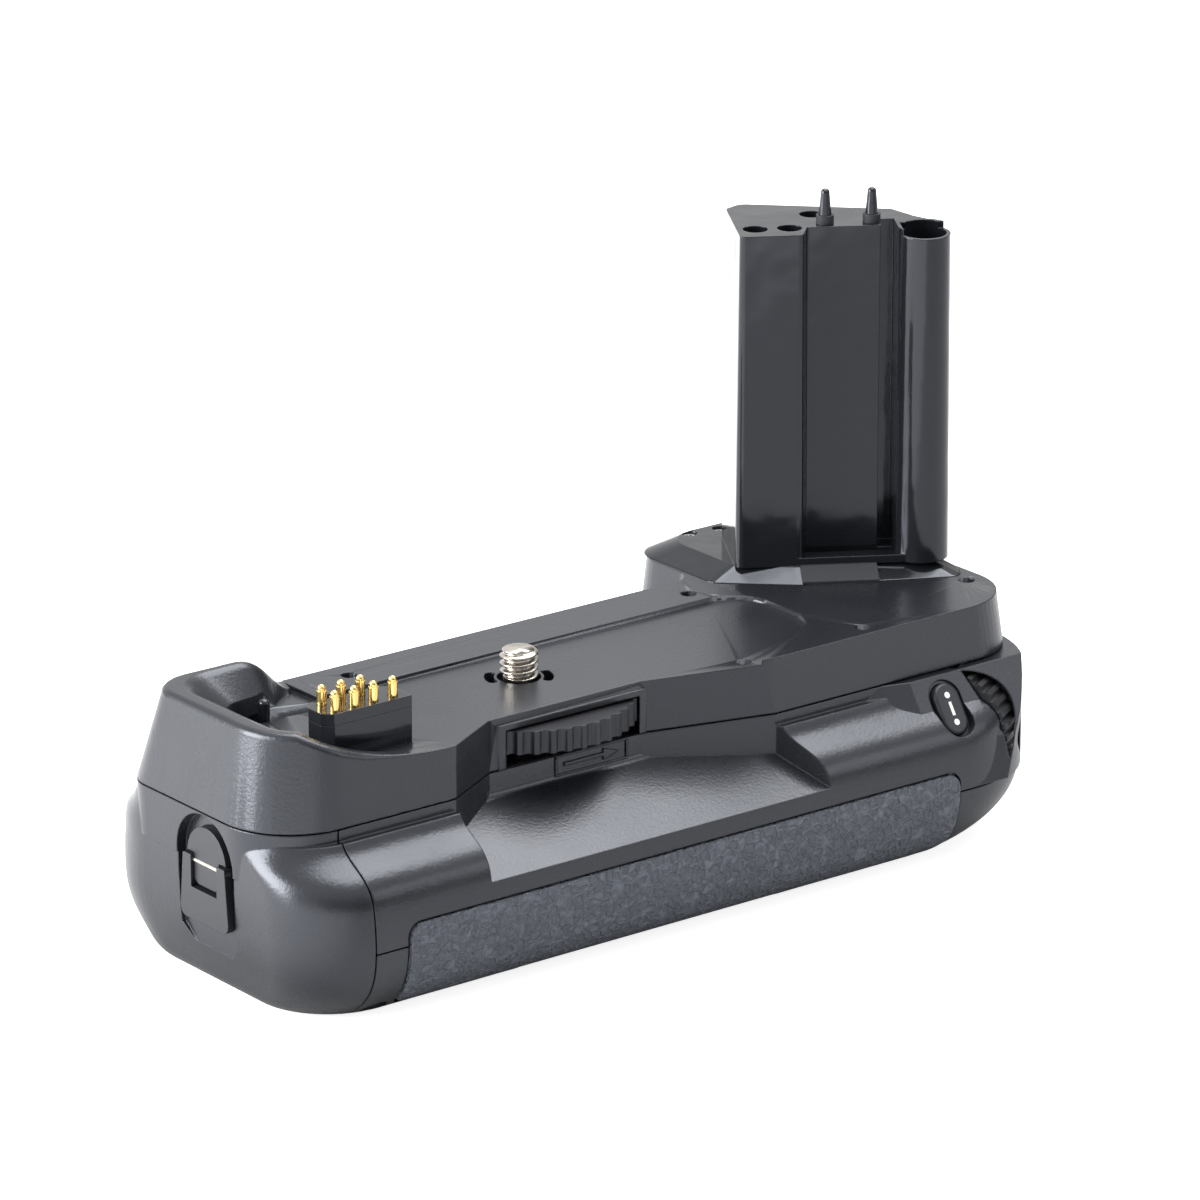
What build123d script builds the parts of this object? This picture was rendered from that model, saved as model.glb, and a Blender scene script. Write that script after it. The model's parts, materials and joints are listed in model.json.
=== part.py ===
from build123d import *
import os
from math import sin, cos, radians

os.makedirs("parts", exist_ok=True)

# Camera battery grip, in millimetres.
# The origin is where the tripod screw's axis meets the seat for the camera.
# +X runs along the grip to the end with the dials, +Y to the camera's lens side, +Z up.

# Casing
left_reach = 63.4
right_reach = 93.3
rear_wall = 20.3
front_wall = 22.4
seat_lip = 0.8
seam_drop = 8.8
lower_seam_drop = 26.8
base_drop = 40.0
cap_length = 12.6
seam_gap = 0.3
overrun = 2.0
running_gap = 0.05
body_gap = 0.3
draft = 1.6
left_rear_corner = 13.0
left_front_corner = 7.0
right_rear_corner = 12.0
bay_side_corner = 4.0
extension_width = 40.8
extension_reach = 17.6
extension_corner = 8.0
extension_draft = 16.0
base_step = 1.0
base_step_left = 18.0
base_step_right = 36.0

# Swell of the lower casing
rear_swell = 9.9
front_swell = 13.1
neck_depth = 9.0
end_corner_growth = 11.0
# Each row: depth below the seam, swell behind, swell in front, left end, right end, corner.
# Depths are shares of the lower casing's height, and the last three of their own sizes.
swell_shares = (
    (0.070, 0.12, 0.10, 0.983, 0.970, 0.00),
    (0.125, 0.28, 0.26, 0.989, 0.985, 0.20),
    (0.176, 0.54, 0.48, 0.991, 0.997, 0.45),
    (0.237, 0.79, 0.71, 0.992, 1.004, 0.70),
    (0.295, 0.90, 0.84, 0.992, 1.009, 0.88),
    (0.407, 0.97, 0.95, 0.990, 1.014, 1.00),
    (0.583, 1.00, 1.00, 0.984, 1.014, 1.00),
    (0.744, 0.92, 0.97, 0.972, 0.999, 1.00),
    (0.840, 0.77, 0.91, 0.956, 0.975, 1.00),
    (0.920, 0.54, 0.82, 0.940, 0.946, 0.95),
    (1.000, 0.12, 0.62, 0.910, 0.900, 0.85),
)

# Hump that carries the rear button and dial
hump_left = 54.0
hump_full = 65.0
hump_lean = 3.5
hump_rise = 1.2
hump_toe = 28.6
hump_toe_drop = 19.5

# Rim at the left end of the seat
rim_rise = 7.0
end_draft = 2.6
rear_draft = 0.2
front_draft = 3.6
rim_left = 57.4
rim_rear = 17.8
rim_front = 17.2
rim_corner = 9.0
rim_front_corner = 5.0
rim_flat_end = 57.0
rim_swoop_end = 28.0
front_flat_end = 45.5
front_swoop_end = 31.0
# Rise of the rim along its swoop, as shares of its run and of its height.
swoop_shares = ((0, 0), (0.36, 0.2), (0.75, 0.72), (1, 1))
front_swoop_shares = ((0, 0), (0.35, 0.12), (0.7, 0.5), (1, 1))
slope_start = 2.5
slope_angle = 38.0
slope_left = 54.5
slope_rear = 14.0
shelf_left = 48.0
shelf_middle = 41.0
shelf_middle_y = 11.9
shelf_right = 31.0
crescent_middle = 40.0
crescent_middle_y = 7.2
crescent_depth = 3.0

# Recessed floor of the seat
tray_front = 10.3
tray_right = 54.7
tray_corner = 7.0
tray_rear_exit = 30.0
tray_rear_bend = 9.0
tray_rear_corner = 8.0

# Thumb recess behind the lock wheel
recess_wall = 14.0
recess_left = 28.0
recess_left_inner = 16.6
recess_right_inner = 14.0
recess_right = 37.5
recess_right_toe = 43.0
scoop_floor_drop = 13.0
scoop_toe_drop = 20.6
scoop_toe = 30.6
scoop_round = 1.6

# Lock wheel and tripod screw
screw_diameter = 6.35
screw_rise = 4.9
screw_chamfer = 0.5
screw_relief = 0.3
shank_diameter = 5.2
screw_hole_diameter = 7.3
ear_radius = 4.9
ear_width = 1.6
ear_angle = 44.0
wheel_radius = 19.4
wheel_thickness = 3.9
wheel_drop = 2.7
wheel_gap = 0.4
wheel_well_gap = 0.4
wheel_teeth = 44
tooth_radius = 1.05
tooth_bite_share = 0.62
hub_radius = 6.0
hub_rise_share = 0.4
window_lip = 0.5
window_lip_width = 1.0
plate_thickness = 1.0
plate_half_length = 24.0
plate_half_width = 11.0
plate_corner = 2.0
clip_radius = 4.2
clip_thickness = 0.8
screw_tail = 1.2

# Contact block with its spring pins
block_left = 48.5
block_length = 16.6
block_rear = 14.0
block_width = 6.5
block_rise = 7.7
block_cap = 2.0
block_corner = 1.6
block_tenon = 3.0
block_tenon_inset = 1.5
pin_pitch = 3.77
pin_row_gap = 3.5
front_row_count = 4
back_row_count = 3
pin_diameter = 1.6
pin_rise = 3.4
pin_tip_diameter = 1.25
pin_tip_rise = 1.0
pin_travel = 1.5
pin_stem = 5.6
barrel_wall = 0.3
barrel_floor = 0.4
locating_pin_diameter = 1.9
locating_pin_rise = 3.4
locating_pin_stem = 1.8
locating_pin_x = -44.6
locating_pin_y = 8.7

# Chamber insert: flange and post
flange_rise = 2.2
flange_bevel = 3.1
flange_side_bevel = 4.9
flange_left = 52.9
flange_near_left = 15.9
flange_bend_x = 64.2
flange_bend_y = 5.5
flange_bend_share = 0.4
flange_far = 38.4
flange_right = 91.6
flange_near_right = 7.2
flange_near_turn = 3.0
flange_corner = 3.0
flange_bend_corner = 12.0
flange_far_corner = 6.0
flange_near_corner = 2.0
post_x = 56.9
post_y = 14.4
post_turn = -31.0
post_height = 58.0
post_draft = 0.45
post_lobe_width = 11.4
post_recess_depth = 4.6
post_recess_end = 28.5
post_depth = 21.3
post_right = 36.2
post_right_rear = 5.6
post_shoulder_x = 31.5
post_shoulder_y = 10.5
post_far_right = 28.5
post_far_right_y = 15.2
post_corner = 1.3
post_far_corner = 3.0
tube_x = 32.0
tube_y = 3.9
tube_diameter = 9.8
tube_bore = 7.5
tube_bore_depth = 12.0
tube_drop = 1.2
groove_left = 24.8
groove_width = 2.8
groove_depth = 4.2
sill_length = 21.6
sill_depth = 3.1
sill_rise = 1.4
sill_start = 10.4
lobe_hole_diameter = 4.2
lobe_hole_depth = 8.0
lobe_hole_y = 4.9
lobe_hole_left = 3.6
lobe_hole_pitch = 5.8
rear_hole_x = 14.3
rear_hole_y = 13.0
terminal_left_x = 15.7
terminal_right_x = 23.6
terminal_y = 7.3
terminal_base = 2.2
terminal_tip = 1.4
terminal_rise = 6.0
collar_diameter = 3.0
collar_rise = 1.5
terminal_root = 2.0
catch_length = 13.0
catch_start = 11.0
catch_low = 3.2
catch_high = -0.7
catch_edge = 0.6
catch_rise = 0.3
catch_lip = 0.4

# Battery bay, holder and cells
bay_half_width = 23.85
bay_centre = 3.5
bay_top_drop = 17.5
bay_height = 17.2
bay_clearance = 0.35
bay_end_gap = 1.5
holder_wall = 1.2
holder_side = 1.0
cell_diameter = 14.4
cell_length = 49.2
cell_nub_diameter = 5.4
cell_nub = 1.0
cell_gap = 0.2
cell_pitch = 15.3
cells_along = 2
cells_across = 3
contact_thickness = 0.4
contact_side = 8.0
bay_contact_spread = 20.0
bay_contact_radius = 2.0

# Latch on the end cap
latch_face = 62.8
latch_y = -0.8
latch_drop = 17.0
knob_diameter = 10.6
knob_thickness = 3.0
tongue_thickness = 1.6
knob_gap = 0.1
tongue_width = 6.8
tongue_drop = 4.8
flap_half_width = 5.7
flap_toe_half_width = 6.7
flap_length = 10.9
flap_thickness = 1.5
flap_proud = 0.6
flap_gap = 0.3
flap_corner = 1.6
flap_pin_diameter = 0.8
flap_pin_drop = 0.9
dish_radius = 7.7
dish_depth = 1.45
dish_side_gap = 0.35
dish_swing_gap = 1.5
dish_toe = 15.6
dish_toe_half_width = 5.0
dish_corner = 2.5
bolt_stem_diameter = 4.0
bolt_length = 13.0
bolt_width = 4.0
bolt_thickness = 1.5
bolt_room = 0.6
bolt_cavity = 4.9

# Rear button and its switch
button_x = 71.0
button_drop = 14.2
button_length = 9.2
button_width = 5.2
button_rise = 0.7
button_depth = 3.6
button_travel = 0.8
button_gap = 0.12
button_dish = 0.7
button_dish_depth = 0.5
switch_gap = 0.15
switch_side = 4.0
switch_height = 2.0
switch_dome = 1.2
switch_dome_height = 0.7

# Rear and front dials
dial_radius = 12.0
dial_width = 5.4
dial_drop = 21.5
dial_side_gap = 0.4
dial_tip_gap = 0.7
dial_ribs = 36
dial_rib_radius = 0.6
dial_shaft = 2.5
dial_shaft_seat = 2.0
dial_collar = 0.35
dial_collar_radius = 2.4
rear_dial_x = 77.0
rear_dial_y = -17.1
rear_dial_turn = 30.0
front_dial_x = 77.5
front_dial_y = 28.5
front_dial_turn = 150.0
dial_window_height = 19.0

# Shutter button and its lock ring on the right end
shutter_y = 13.0
shutter_drop = 20.5
shutter_face = 93.0
shutter_radius = 4.6
shutter_length = 9.0
shutter_rise = 1.2
shutter_travel = 1.0
shutter_dome = 0.8
sleeve_wall = 0.8
ring_outer = 8.2
ring_thickness = 2.3
ring_lever_reach = 2.2
ring_lever_width = 3.0
ring_lever_turn = 35.0
boss_wall = 1.2

# Grip pads
pad_proud = 0.3
pad_sink = 0.9
pad_border = 0.35
pad_left = 44.4
pad_right = 69.0
pad_top_drop = 23.5
pad_foot = 1.6
pad_corner = 2.5
front_pad_left = 38.0
front_pad_right = 62.0
front_pad_top_drop = 19.5

# Fasteners, board and bush
cover_screw_head = 2.8
cover_screw_head_height = 1.1
cover_screw_shank = 1.6
cover_screw_length = 10.0
cover_screw_sink = 1.9
insert_screw_sink = 0.5
base_screw_head = 4.4
base_screw_length = 16.0
base_screw_sink = 3.4
board_left = 43.0
board_right = 66.0
board_rear = 8.5
board_front = 12.0
board_thickness = 1.2
board_room = 4.2
chip_height = 1.4
bush_radius = 6.5
bush_bore = 5.2
bush_length = 3.6
seam_boss_radius = 2.5
# Places of the screws and of the bosses that carry one casing part on the next, as x and y.
cover_screw_plan = ((-22.8, 15.6), (46.5, 14.0), (33.5, -16.8), (58.6, -17.2), (88.0, -9.2))
insert_screw_plan = ((62.6, 34.2), (68.4, 33.0))
base_screw_places = ((-47.4, -24.0), (-47.4, 29.5), (62.0, -14.0), (62.0, 26.0))
seam_boss_places = ((-38.0, 16.8), (-36.0, -14.0), (30.0, 17.0), (62.0, -13.0), (82.0, 32.0))
lower_boss_places = ((-40.0, -24.5), (10.0, -24.5), (-38.0, 30.8), (10.0, 31.0), (64.0, 9.0))
# Board components, each as centre x, centre y, length and width.
chips = ((-24.0, 2.0, 9.0, 9.0), (-8.0, -3.0, 5.0, 4.0), (22.0, 4.0, 12.0, 7.0), (44.0, -1.0, 8.0, 8.0))

# Places that follow from the sizes above
cap_split = -(left_reach - cap_length)
extension_left = right_reach - extension_width
extension_front = front_wall + extension_reach
casing_height = base_drop - seam_drop
wheel_floor = -(wheel_drop + wheel_thickness)
well_radius = wheel_radius + wheel_well_gap
window_half_width = (well_radius ** 2 - recess_wall ** 2) ** 0.5
well_top = -(wheel_drop - wheel_gap)
plate_top = wheel_floor - wheel_gap
plate_bottom = plate_top - plate_thickness
housing_top = -(seam_drop + seam_gap)
lower_top = -(lower_seam_drop + seam_gap)
bay_bottom = -(bay_top_drop + bay_height)
holder_length = cells_along * (cell_length + cell_nub + contact_thickness + contact_thickness) \
    + (cells_along + 1) * holder_wall
holder_left = cap_split - body_gap
bay_right = holder_left + holder_length + bay_end_gap
cell_drop = bay_top_drop + bay_height / 2
flange_top = seat_lip + flange_rise
post_top = flange_top + post_height
board_floor = housing_top - board_room
base_floor = -base_drop + base_step
post_frame = Plane(origin=(post_x, post_y, flange_top),
                   x_dir=(cos(radians(post_turn)), sin(radians(post_turn)), 0), z_dir=(0, 0, 1))
post_top_frame = post_frame.offset(post_height)
cover_screw_seat = seat_lip - cover_screw_sink - cover_screw_head_height
insert_screw_seat = flange_top - insert_screw_sink - cover_screw_head_height
base_screw_seat = base_screw_sink + cover_screw_head_height - base_drop
cover_screw_places = [(x, y, cover_screw_seat) for x, y in cover_screw_plan]
insert_screw_places = [(x, y, insert_screw_seat) for x, y in insert_screw_plan]
rear_side, front_side = -1, 1


def outline(corners):
    """A closed face whose corners are given as x, y and rounding radius, always run anticlockwise."""
    turning = sum(x0 * y1 - x1 * y0 for (x0, y0, _), (x1, y1, _) in zip(corners, corners[1:] + corners[:1]))
    if turning < 0:
        corners = corners[::-1]
    with BuildSketch() as face:
        with BuildLine():
            FilletPolyline([(x, y) for x, y, _ in corners], radius=[r for _, _, r in corners], close=True)
        make_face()
    return face.sketch_local


def save(piece, name):
    """Label a finished piece and write it."""
    piece.part.label = name
    export_step(piece.part, "parts/" + name + ".step")


def cover_corners(end_shift, rear_shift, front_shift):
    """The top cover's outline, drawn in by the draft at its ends and sides."""
    left, right = -left_reach + end_shift, right_reach - end_shift
    rear, front = -rear_wall + rear_shift, front_wall - front_shift
    far_front = extension_front - end_shift
    return ((left, rear, left_rear_corner), (left, front, left_front_corner),
            (extension_left, front, bay_side_corner), (extension_left, far_front, extension_corner),
            (right, far_front, extension_corner + bay_side_corner), (right, rear, right_rear_corner))


def swollen_casing(inset):
    """The lower casing's swollen form, a loft through level outlines, drawn in by an inset."""
    with BuildPart() as form:
        for drop, rear, front, left_end, right_end, corner in swell_shares:
            with BuildSketch(Plane.XY.offset(-seam_drop - drop * casing_height)):
                x0 = -left_reach * left_end + inset
                x1 = right_reach * right_end - inset
                y0 = -rear_wall - rear * rear_swell + inset
                y1 = front_wall + front * front_swell - inset
                grown = corner * end_corner_growth
                add(outline(((x0, y0, left_rear_corner), (x0, y1, left_front_corner + grown),
                             (x1, y1, right_rear_corner + grown), (x1, y0, right_rear_corner + grown))))
        loft()
    return form.part


def hump_section(x, share):
    """A section of the hump; a share of 0 lies inside the swell and 1 is its full height."""
    sunk = (1 - share) * hump_lean
    with BuildSketch(Plane.YZ.offset(x)) as section:
        with BuildLine():
            Polyline((0, -seam_drop), (-rear_wall - hump_rise + sunk, -seam_drop),
                     (-hump_toe + sunk, -hump_toe_drop), (-rear_wall - rear_swell + sunk, -lower_seam_drop),
                     (0, -lower_seam_drop), close=True)
        make_face()
    return section.sketch


def grip_hump():
    """The swelling at the dial end that carries the rear button up to the seam."""
    with BuildPart() as hump:
        add(hump_section(hump_left, 0))
        add(hump_section(hump_full, 1))
        add(hump_section(right_reach + overrun, 1))
        loft(ruled=True)
        add(hump_plan(), mode=Mode.INTERSECT)
    return hump.part


def hump_plan():
    """The space that the hump may fill, rounded like the corner of the swell."""
    rear = -rear_wall - rear_swell - overrun
    with BuildPart() as space:
        with BuildSketch(Plane.XY.offset(-base_drop)):
            add(outline(((hump_left - overrun, overrun, 0), (hump_left - overrun, rear, 0),
                         (right_reach, rear, right_rear_corner + end_corner_growth), (right_reach, overrun, 0))))
        extrude(amount=base_drop)
    return space.part


def thumb_scoop():
    """The hollow behind and below the lock wheel: a section along X cut by its plan."""
    with BuildPart() as scoop:
        with BuildSketch(Plane.YZ.offset(-recess_left - overrun)):
            with BuildLine():
                Polyline((-recess_wall, rim_rise), (-recess_wall, -scoop_floor_drop),
                         (-scoop_toe, -scoop_toe_drop), (-scoop_toe - overrun, rim_rise), close=True)
            make_face()
        extrude(amount=recess_left + recess_right_toe + overrun + overrun)
        with BuildSketch(Plane.XY.offset(-base_drop)):
            with BuildLine():
                Polyline((-recess_left_inner, -recess_wall), (recess_right_inner, -recess_wall),
                         (recess_right, -rear_wall), (recess_right_toe, -scoop_toe - overrun),
                         (-recess_left, -scoop_toe - overrun), (-recess_left, -rear_wall), close=True)
            make_face()
        extrude(amount=base_drop + rim_rise, mode=Mode.INTERSECT)
        fillet(scoop.edges().filter_by(Axis.X).group_by(Axis.Y)[-1].sort_by(Axis.Z)[0], scoop_round)
    return scoop.part


def dial_frame(x, y, turn):
    """The plane of a dial: its normal is the dial's axis."""
    axis = (cos(radians(turn)), sin(radians(turn)), 0)
    return Plane(origin=(x, y, -dial_drop), x_dir=(0, 0, 1), z_dir=axis)


rear_dial_frame = dial_frame(rear_dial_x, rear_dial_y, rear_dial_turn)
front_dial_frame = dial_frame(front_dial_x, front_dial_y, front_dial_turn)


def dial_pocket(frame, outward):
    """The slot that a dial turns in, its window in the wall and the holes for its shaft."""
    room = dial_width / 2 + dial_side_gap
    with BuildPart() as pocket:
        with BuildSketch(frame.offset(-room)):
            Circle(dial_radius + dial_tip_gap)
            with Locations((0, outward * dial_radius)):
                Rectangle(dial_window_height, dial_radius * 2)
        extrude(amount=room + room)
        with BuildSketch(frame.offset(-room - dial_shaft_seat)):
            Circle(dial_shaft / 2)
        extrude(amount=room + room + dial_shaft_seat + dial_shaft_seat)
    return pocket.part


def dial(frame):
    """A ribbed command dial: flutes cut round its rim by a polar pattern."""
    with BuildPart() as wheel:
        with BuildSketch(frame.offset(-dial_width / 2)):
            Circle(dial_radius)
            with PolarLocations(dial_radius, dial_ribs):
                Circle(dial_rib_radius, mode=Mode.SUBTRACT)
        extrude(amount=dial_width)
        with BuildSketch(frame.offset(-dial_width / 2 - dial_collar)):
            Circle(dial_collar_radius)
        extrude(amount=dial_width + dial_collar + dial_collar)
        with BuildSketch(frame.offset(-dial_width)):
            Circle(dial_shaft / 2 + running_gap)
        extrude(amount=dial_width + dial_width, mode=Mode.SUBTRACT)
    return wheel


def dial_axle(frame):
    """The steel shaft a dial turns on."""
    half = dial_width / 2 + dial_side_gap + dial_shaft_seat
    with BuildPart() as axle:
        with BuildSketch(frame.offset(-half)):
            Circle(dial_shaft / 2)
        extrude(amount=half + half)
    return axle


hump_top_y = -rear_wall - hump_rise
button_slope = Vector(0, -hump_toe - hump_top_y, -hump_toe_drop + seam_drop).normalized()
button_y = hump_top_y + (seam_drop - button_drop) / button_slope.Z * button_slope.Y
button_frame = Plane(origin=(button_x, button_y, -button_drop), x_dir=(1, 0, 0),
                     z_dir=(0, button_slope.Z, -button_slope.Y))


def button_pocket():
    """The hole for the rear button, its shallow surround and the room for the switch under it."""
    with BuildPart() as pocket:
        with BuildSketch(button_frame.offset(-button_depth - button_travel)):
            SlotOverall(button_length + button_gap + button_gap, button_width + button_gap + button_gap,
                        rotation=90)
        extrude(amount=button_depth + button_travel + overrun)
        with BuildSketch(button_frame.offset(-button_dish_depth)):
            SlotOverall(button_length + button_dish + button_dish, button_width + button_dish + button_dish,
                        rotation=90)
        extrude(amount=button_dish_depth + overrun)
        with BuildSketch(button_frame.offset(-button_depth - button_travel - switch_height
                                             - switch_dome_height - switch_gap)):
            Rectangle(switch_side, switch_side)
        extrude(amount=button_depth + overrun)
    return pocket.part


def shutter_frame(x):
    """A plane facing out of the right end, centred on the shutter button."""
    return Plane(origin=(x, shutter_y, -shutter_drop), x_dir=(0, 1, 0), z_dir=(1, 0, 0))


sleeve_radius = shutter_radius + running_gap + sleeve_wall
shutter_back = shutter_face + ring_thickness + shutter_rise - shutter_length
shutter_room = shutter_back - shutter_travel - switch_height - switch_dome_height - switch_gap


def shutter_boss():
    """The round boss on the right end that seats the lock ring."""
    with BuildPart() as boss:
        with BuildSketch(shutter_frame(shutter_face - ring_outer)):
            Circle(ring_outer + boss_wall)
        extrude(amount=ring_outer + ring_thickness / 2)
    return boss.part


def shutter_pocket():
    """The seat for the lock ring round a sleeve, and the hole for the button and its switch."""
    with BuildPart() as pocket:
        with BuildSketch(shutter_frame(shutter_face)):
            Circle(ring_outer + running_gap)
            Circle(sleeve_radius, mode=Mode.SUBTRACT)
        extrude(amount=ring_thickness + overrun)
        with BuildSketch(shutter_frame(shutter_back - shutter_travel - switch_gap)):
            Circle(shutter_radius + running_gap)
        extrude(amount=shutter_length + overrun + overrun)
        with BuildSketch(shutter_frame(shutter_room)):
            Rectangle(switch_side, switch_side)
        extrude(amount=shutter_length)
    return pocket.part


def press_switch(plane):
    """A small switch: a square body with a round plunger on it."""
    with BuildPart() as switch:
        with BuildSketch(plane):
            Rectangle(switch_side, switch_side)
        extrude(amount=switch_height)
        with BuildSketch(plane.offset(switch_height)):
            Circle(switch_dome)
        extrude(amount=switch_dome_height)
    return switch


def bay_box():
    """The battery bay, open at the left end."""
    with BuildPart() as bay:
        with BuildSketch(Plane.YZ.offset(-left_reach)):
            with Locations((bay_centre, -bay_top_drop - bay_height / 2)):
                Rectangle(bay_half_width + bay_half_width, bay_height)
        extrude(amount=left_reach + bay_right)
    return bay.part


def pad_window(left, right, top_drop, front, inset):
    """The block of space that one grip pad fills, seen from behind or in front."""
    reach = rear_wall + rear_swell + front_swell
    with BuildPart() as window:
        with BuildSketch(Plane.XZ.offset(-reach if front else 0)):
            add(outline(((-left + inset, -top_drop - inset, pad_corner), (right - inset, -top_drop - inset, pad_corner),
                         (right - inset, -base_drop + pad_foot + inset, pad_corner),
                         (-left + inset, -base_drop + pad_foot + inset, pad_corner))))
        extrude(amount=reach)
    return window.part


upward = (Align.CENTER, Align.CENTER, Align.MIN)
downward = (Align.CENTER, Align.CENTER, Align.MAX)


def screw_holes(places):
    """Counterbored holes for the screws that fasten the cover from above."""
    with BuildPart() as holes:
        with Locations(*places):
            Cylinder(cover_screw_head / 2, rim_rise, align=upward)
            Cylinder(cover_screw_shank / 2, cover_screw_length, align=downward)
    return holes.part


def screws(places):
    """Small machine screws with their heads on the given seats."""
    with BuildPart() as fasteners:
        with Locations(*places):
            Cylinder(cover_screw_head / 2 - running_gap, cover_screw_head_height, align=upward)
            Cylinder(cover_screw_shank / 2, cover_screw_length, align=downward)
    return fasteners


def base_screw_holes():
    """Counterbored holes for the long screws that hold the bottom cover."""
    with BuildPart() as holes:
        with Locations(*[(x, y, base_screw_seat) for x, y in base_screw_places]):
            Cylinder(base_screw_head / 2, base_drop, align=downward)
            Cylinder(cover_screw_shank / 2, base_screw_length, align=upward)
    return holes.part


# Whole lower casing before it is split at its seams
bulge = swollen_casing(0)
with BuildPart() as casing:
    add(bulge)
    with BuildSketch(Plane.XY.offset(-seam_drop)):
        add(outline(cover_corners(0, 0, 0)))
    extrude(amount=-neck_depth, taper=draft)
    with BuildSketch(Plane.XY.offset(-seam_drop)):
        add(outline(((extension_left, 0, 0), (extension_left, extension_front, extension_corner),
                     (right_reach, extension_front, extension_corner + bay_side_corner), (right_reach, 0, 0))))
    extrude(amount=-extension_reach, taper=extension_draft)
    add(grip_hump())
    add(shutter_boss())
    add(thumb_scoop(), mode=Mode.SUBTRACT)
    with Locations((base_step_right / 2 - base_step_left / 2, 0, -base_drop)):
        Box(base_step_left + base_step_right, extension_front * 4, base_step + base_step, mode=Mode.SUBTRACT)

rear_pad_cut = pad_window(pad_left, pad_right, pad_top_drop, False, -pad_border)
front_pad_cut = pad_window(front_pad_left, front_pad_right, front_pad_top_drop, True, -pad_border)
pad_bed = swollen_casing(pad_sink)

with BuildPart() as pad_recess:
    add(rear_pad_cut)
    add(front_pad_cut)
    add(pad_bed, mode=Mode.SUBTRACT)

with BuildPart() as shell:
    add(casing.part)
    add(pad_recess.part, mode=Mode.SUBTRACT)


def slab(low, high, left, right):
    """A level slice of space between two heights and two places along the grip."""
    depth = extension_front * 4
    with BuildPart() as block:
        with Locations(((left + right) / 2, 0, (low + high) / 2)):
            Box(right - left, depth, high - low)
    return block.part


far_right = right_reach + extension_front

with BuildPart() as main_housing:
    add(shell.part)
    add(slab(-lower_seam_drop, housing_top, cap_split, far_right), mode=Mode.INTERSECT)
    add(bay_box(), mode=Mode.SUBTRACT)
    with BuildSketch(Plane.XY.offset(board_floor)):
        add(outline(((-board_left - body_gap, -board_rear - body_gap, plate_corner),
                     (board_right + body_gap, -board_rear - body_gap, plate_corner),
                     (board_right + body_gap, board_front + body_gap, plate_corner),
                     (-board_left - body_gap, board_front + body_gap, plate_corner))))
    extrude(amount=board_room + overrun, mode=Mode.SUBTRACT)
    add(dial_pocket(rear_dial_frame, rear_side), mode=Mode.SUBTRACT)
    add(dial_pocket(front_dial_frame, front_side), mode=Mode.SUBTRACT)
    add(button_pocket(), mode=Mode.SUBTRACT)
    add(shutter_pocket(), mode=Mode.SUBTRACT)
    with Locations(*[(x, y, housing_top + seam_gap / 2) for x, y in seam_boss_places]):
        Cylinder(seam_boss_radius, seam_gap)
    add(screw_holes(cover_screw_places + insert_screw_places), mode=Mode.SUBTRACT)
    add(base_screw_holes(), mode=Mode.SUBTRACT)
save(main_housing, "main_housing")

with BuildPart() as bottom_cover:
    add(shell.part)
    add(slab(-base_drop, lower_top, cap_split, far_right), mode=Mode.INTERSECT)
    add(bay_box(), mode=Mode.SUBTRACT)
    add(dial_pocket(rear_dial_frame, rear_side), mode=Mode.SUBTRACT)
    add(dial_pocket(front_dial_frame, front_side), mode=Mode.SUBTRACT)
    add(shutter_pocket(), mode=Mode.SUBTRACT)
    with Locations(*[(x, y, lower_top + seam_gap / 2) for x, y in lower_boss_places]):
        Cylinder(seam_boss_radius, seam_gap)
    with Locations((0, 0, base_floor)):
        Cylinder(bush_radius, bush_length, align=(Align.CENTER, Align.CENTER, Align.MIN), mode=Mode.SUBTRACT)
    add(base_screw_holes(), mode=Mode.SUBTRACT)
save(bottom_cover, "bottom_cover")


def swoop_points(shares, low_end, flat_end):
    """Points of the rim's rising edge, from the seat to its flat top."""
    return [(-low_end - run * (flat_end - low_end), seat_lip + rise * (rim_rise - seat_lip))
            for run, rise in shares]


def roof_section(y, shares, low_end, flat_end):
    """A section of the space above the top cover, drawn on a plane across it."""
    points = swoop_points(shares, low_end, flat_end)
    high = rim_rise + overrun
    with BuildSketch(Plane(origin=(0, y, 0), x_dir=(1, 0, 0), z_dir=(0, -1, 0))) as section:
        with BuildLine():
            Spline(points, tangents=[(-1, 0), (-1, 0)])
            Polyline(points[-1], (-flat_end, high), (far_right, high), (far_right, seat_lip), points[0])
        make_face()
    return section.sketch


def rim_roof():
    """The space above the top cover, whose edge rises into the rim at the left."""
    with BuildPart() as roof:
        add(roof_section(-rear_wall - overrun, swoop_shares, rim_swoop_end, rim_flat_end))
        add(roof_section(front_wall + overrun, front_swoop_shares, front_swoop_end, front_flat_end))
        loft(ruled=True)
        with BuildSketch(Plane.XY.offset(seat_lip)):
            with Locations((extension_left - bay_side_corner - overrun, front_wall - front_draft)):
                Rectangle(extension_front * 2, extension_front, align=(Align.MIN, Align.MIN))
        extrude(amount=rim_rise + overrun)
    return roof.part


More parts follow.
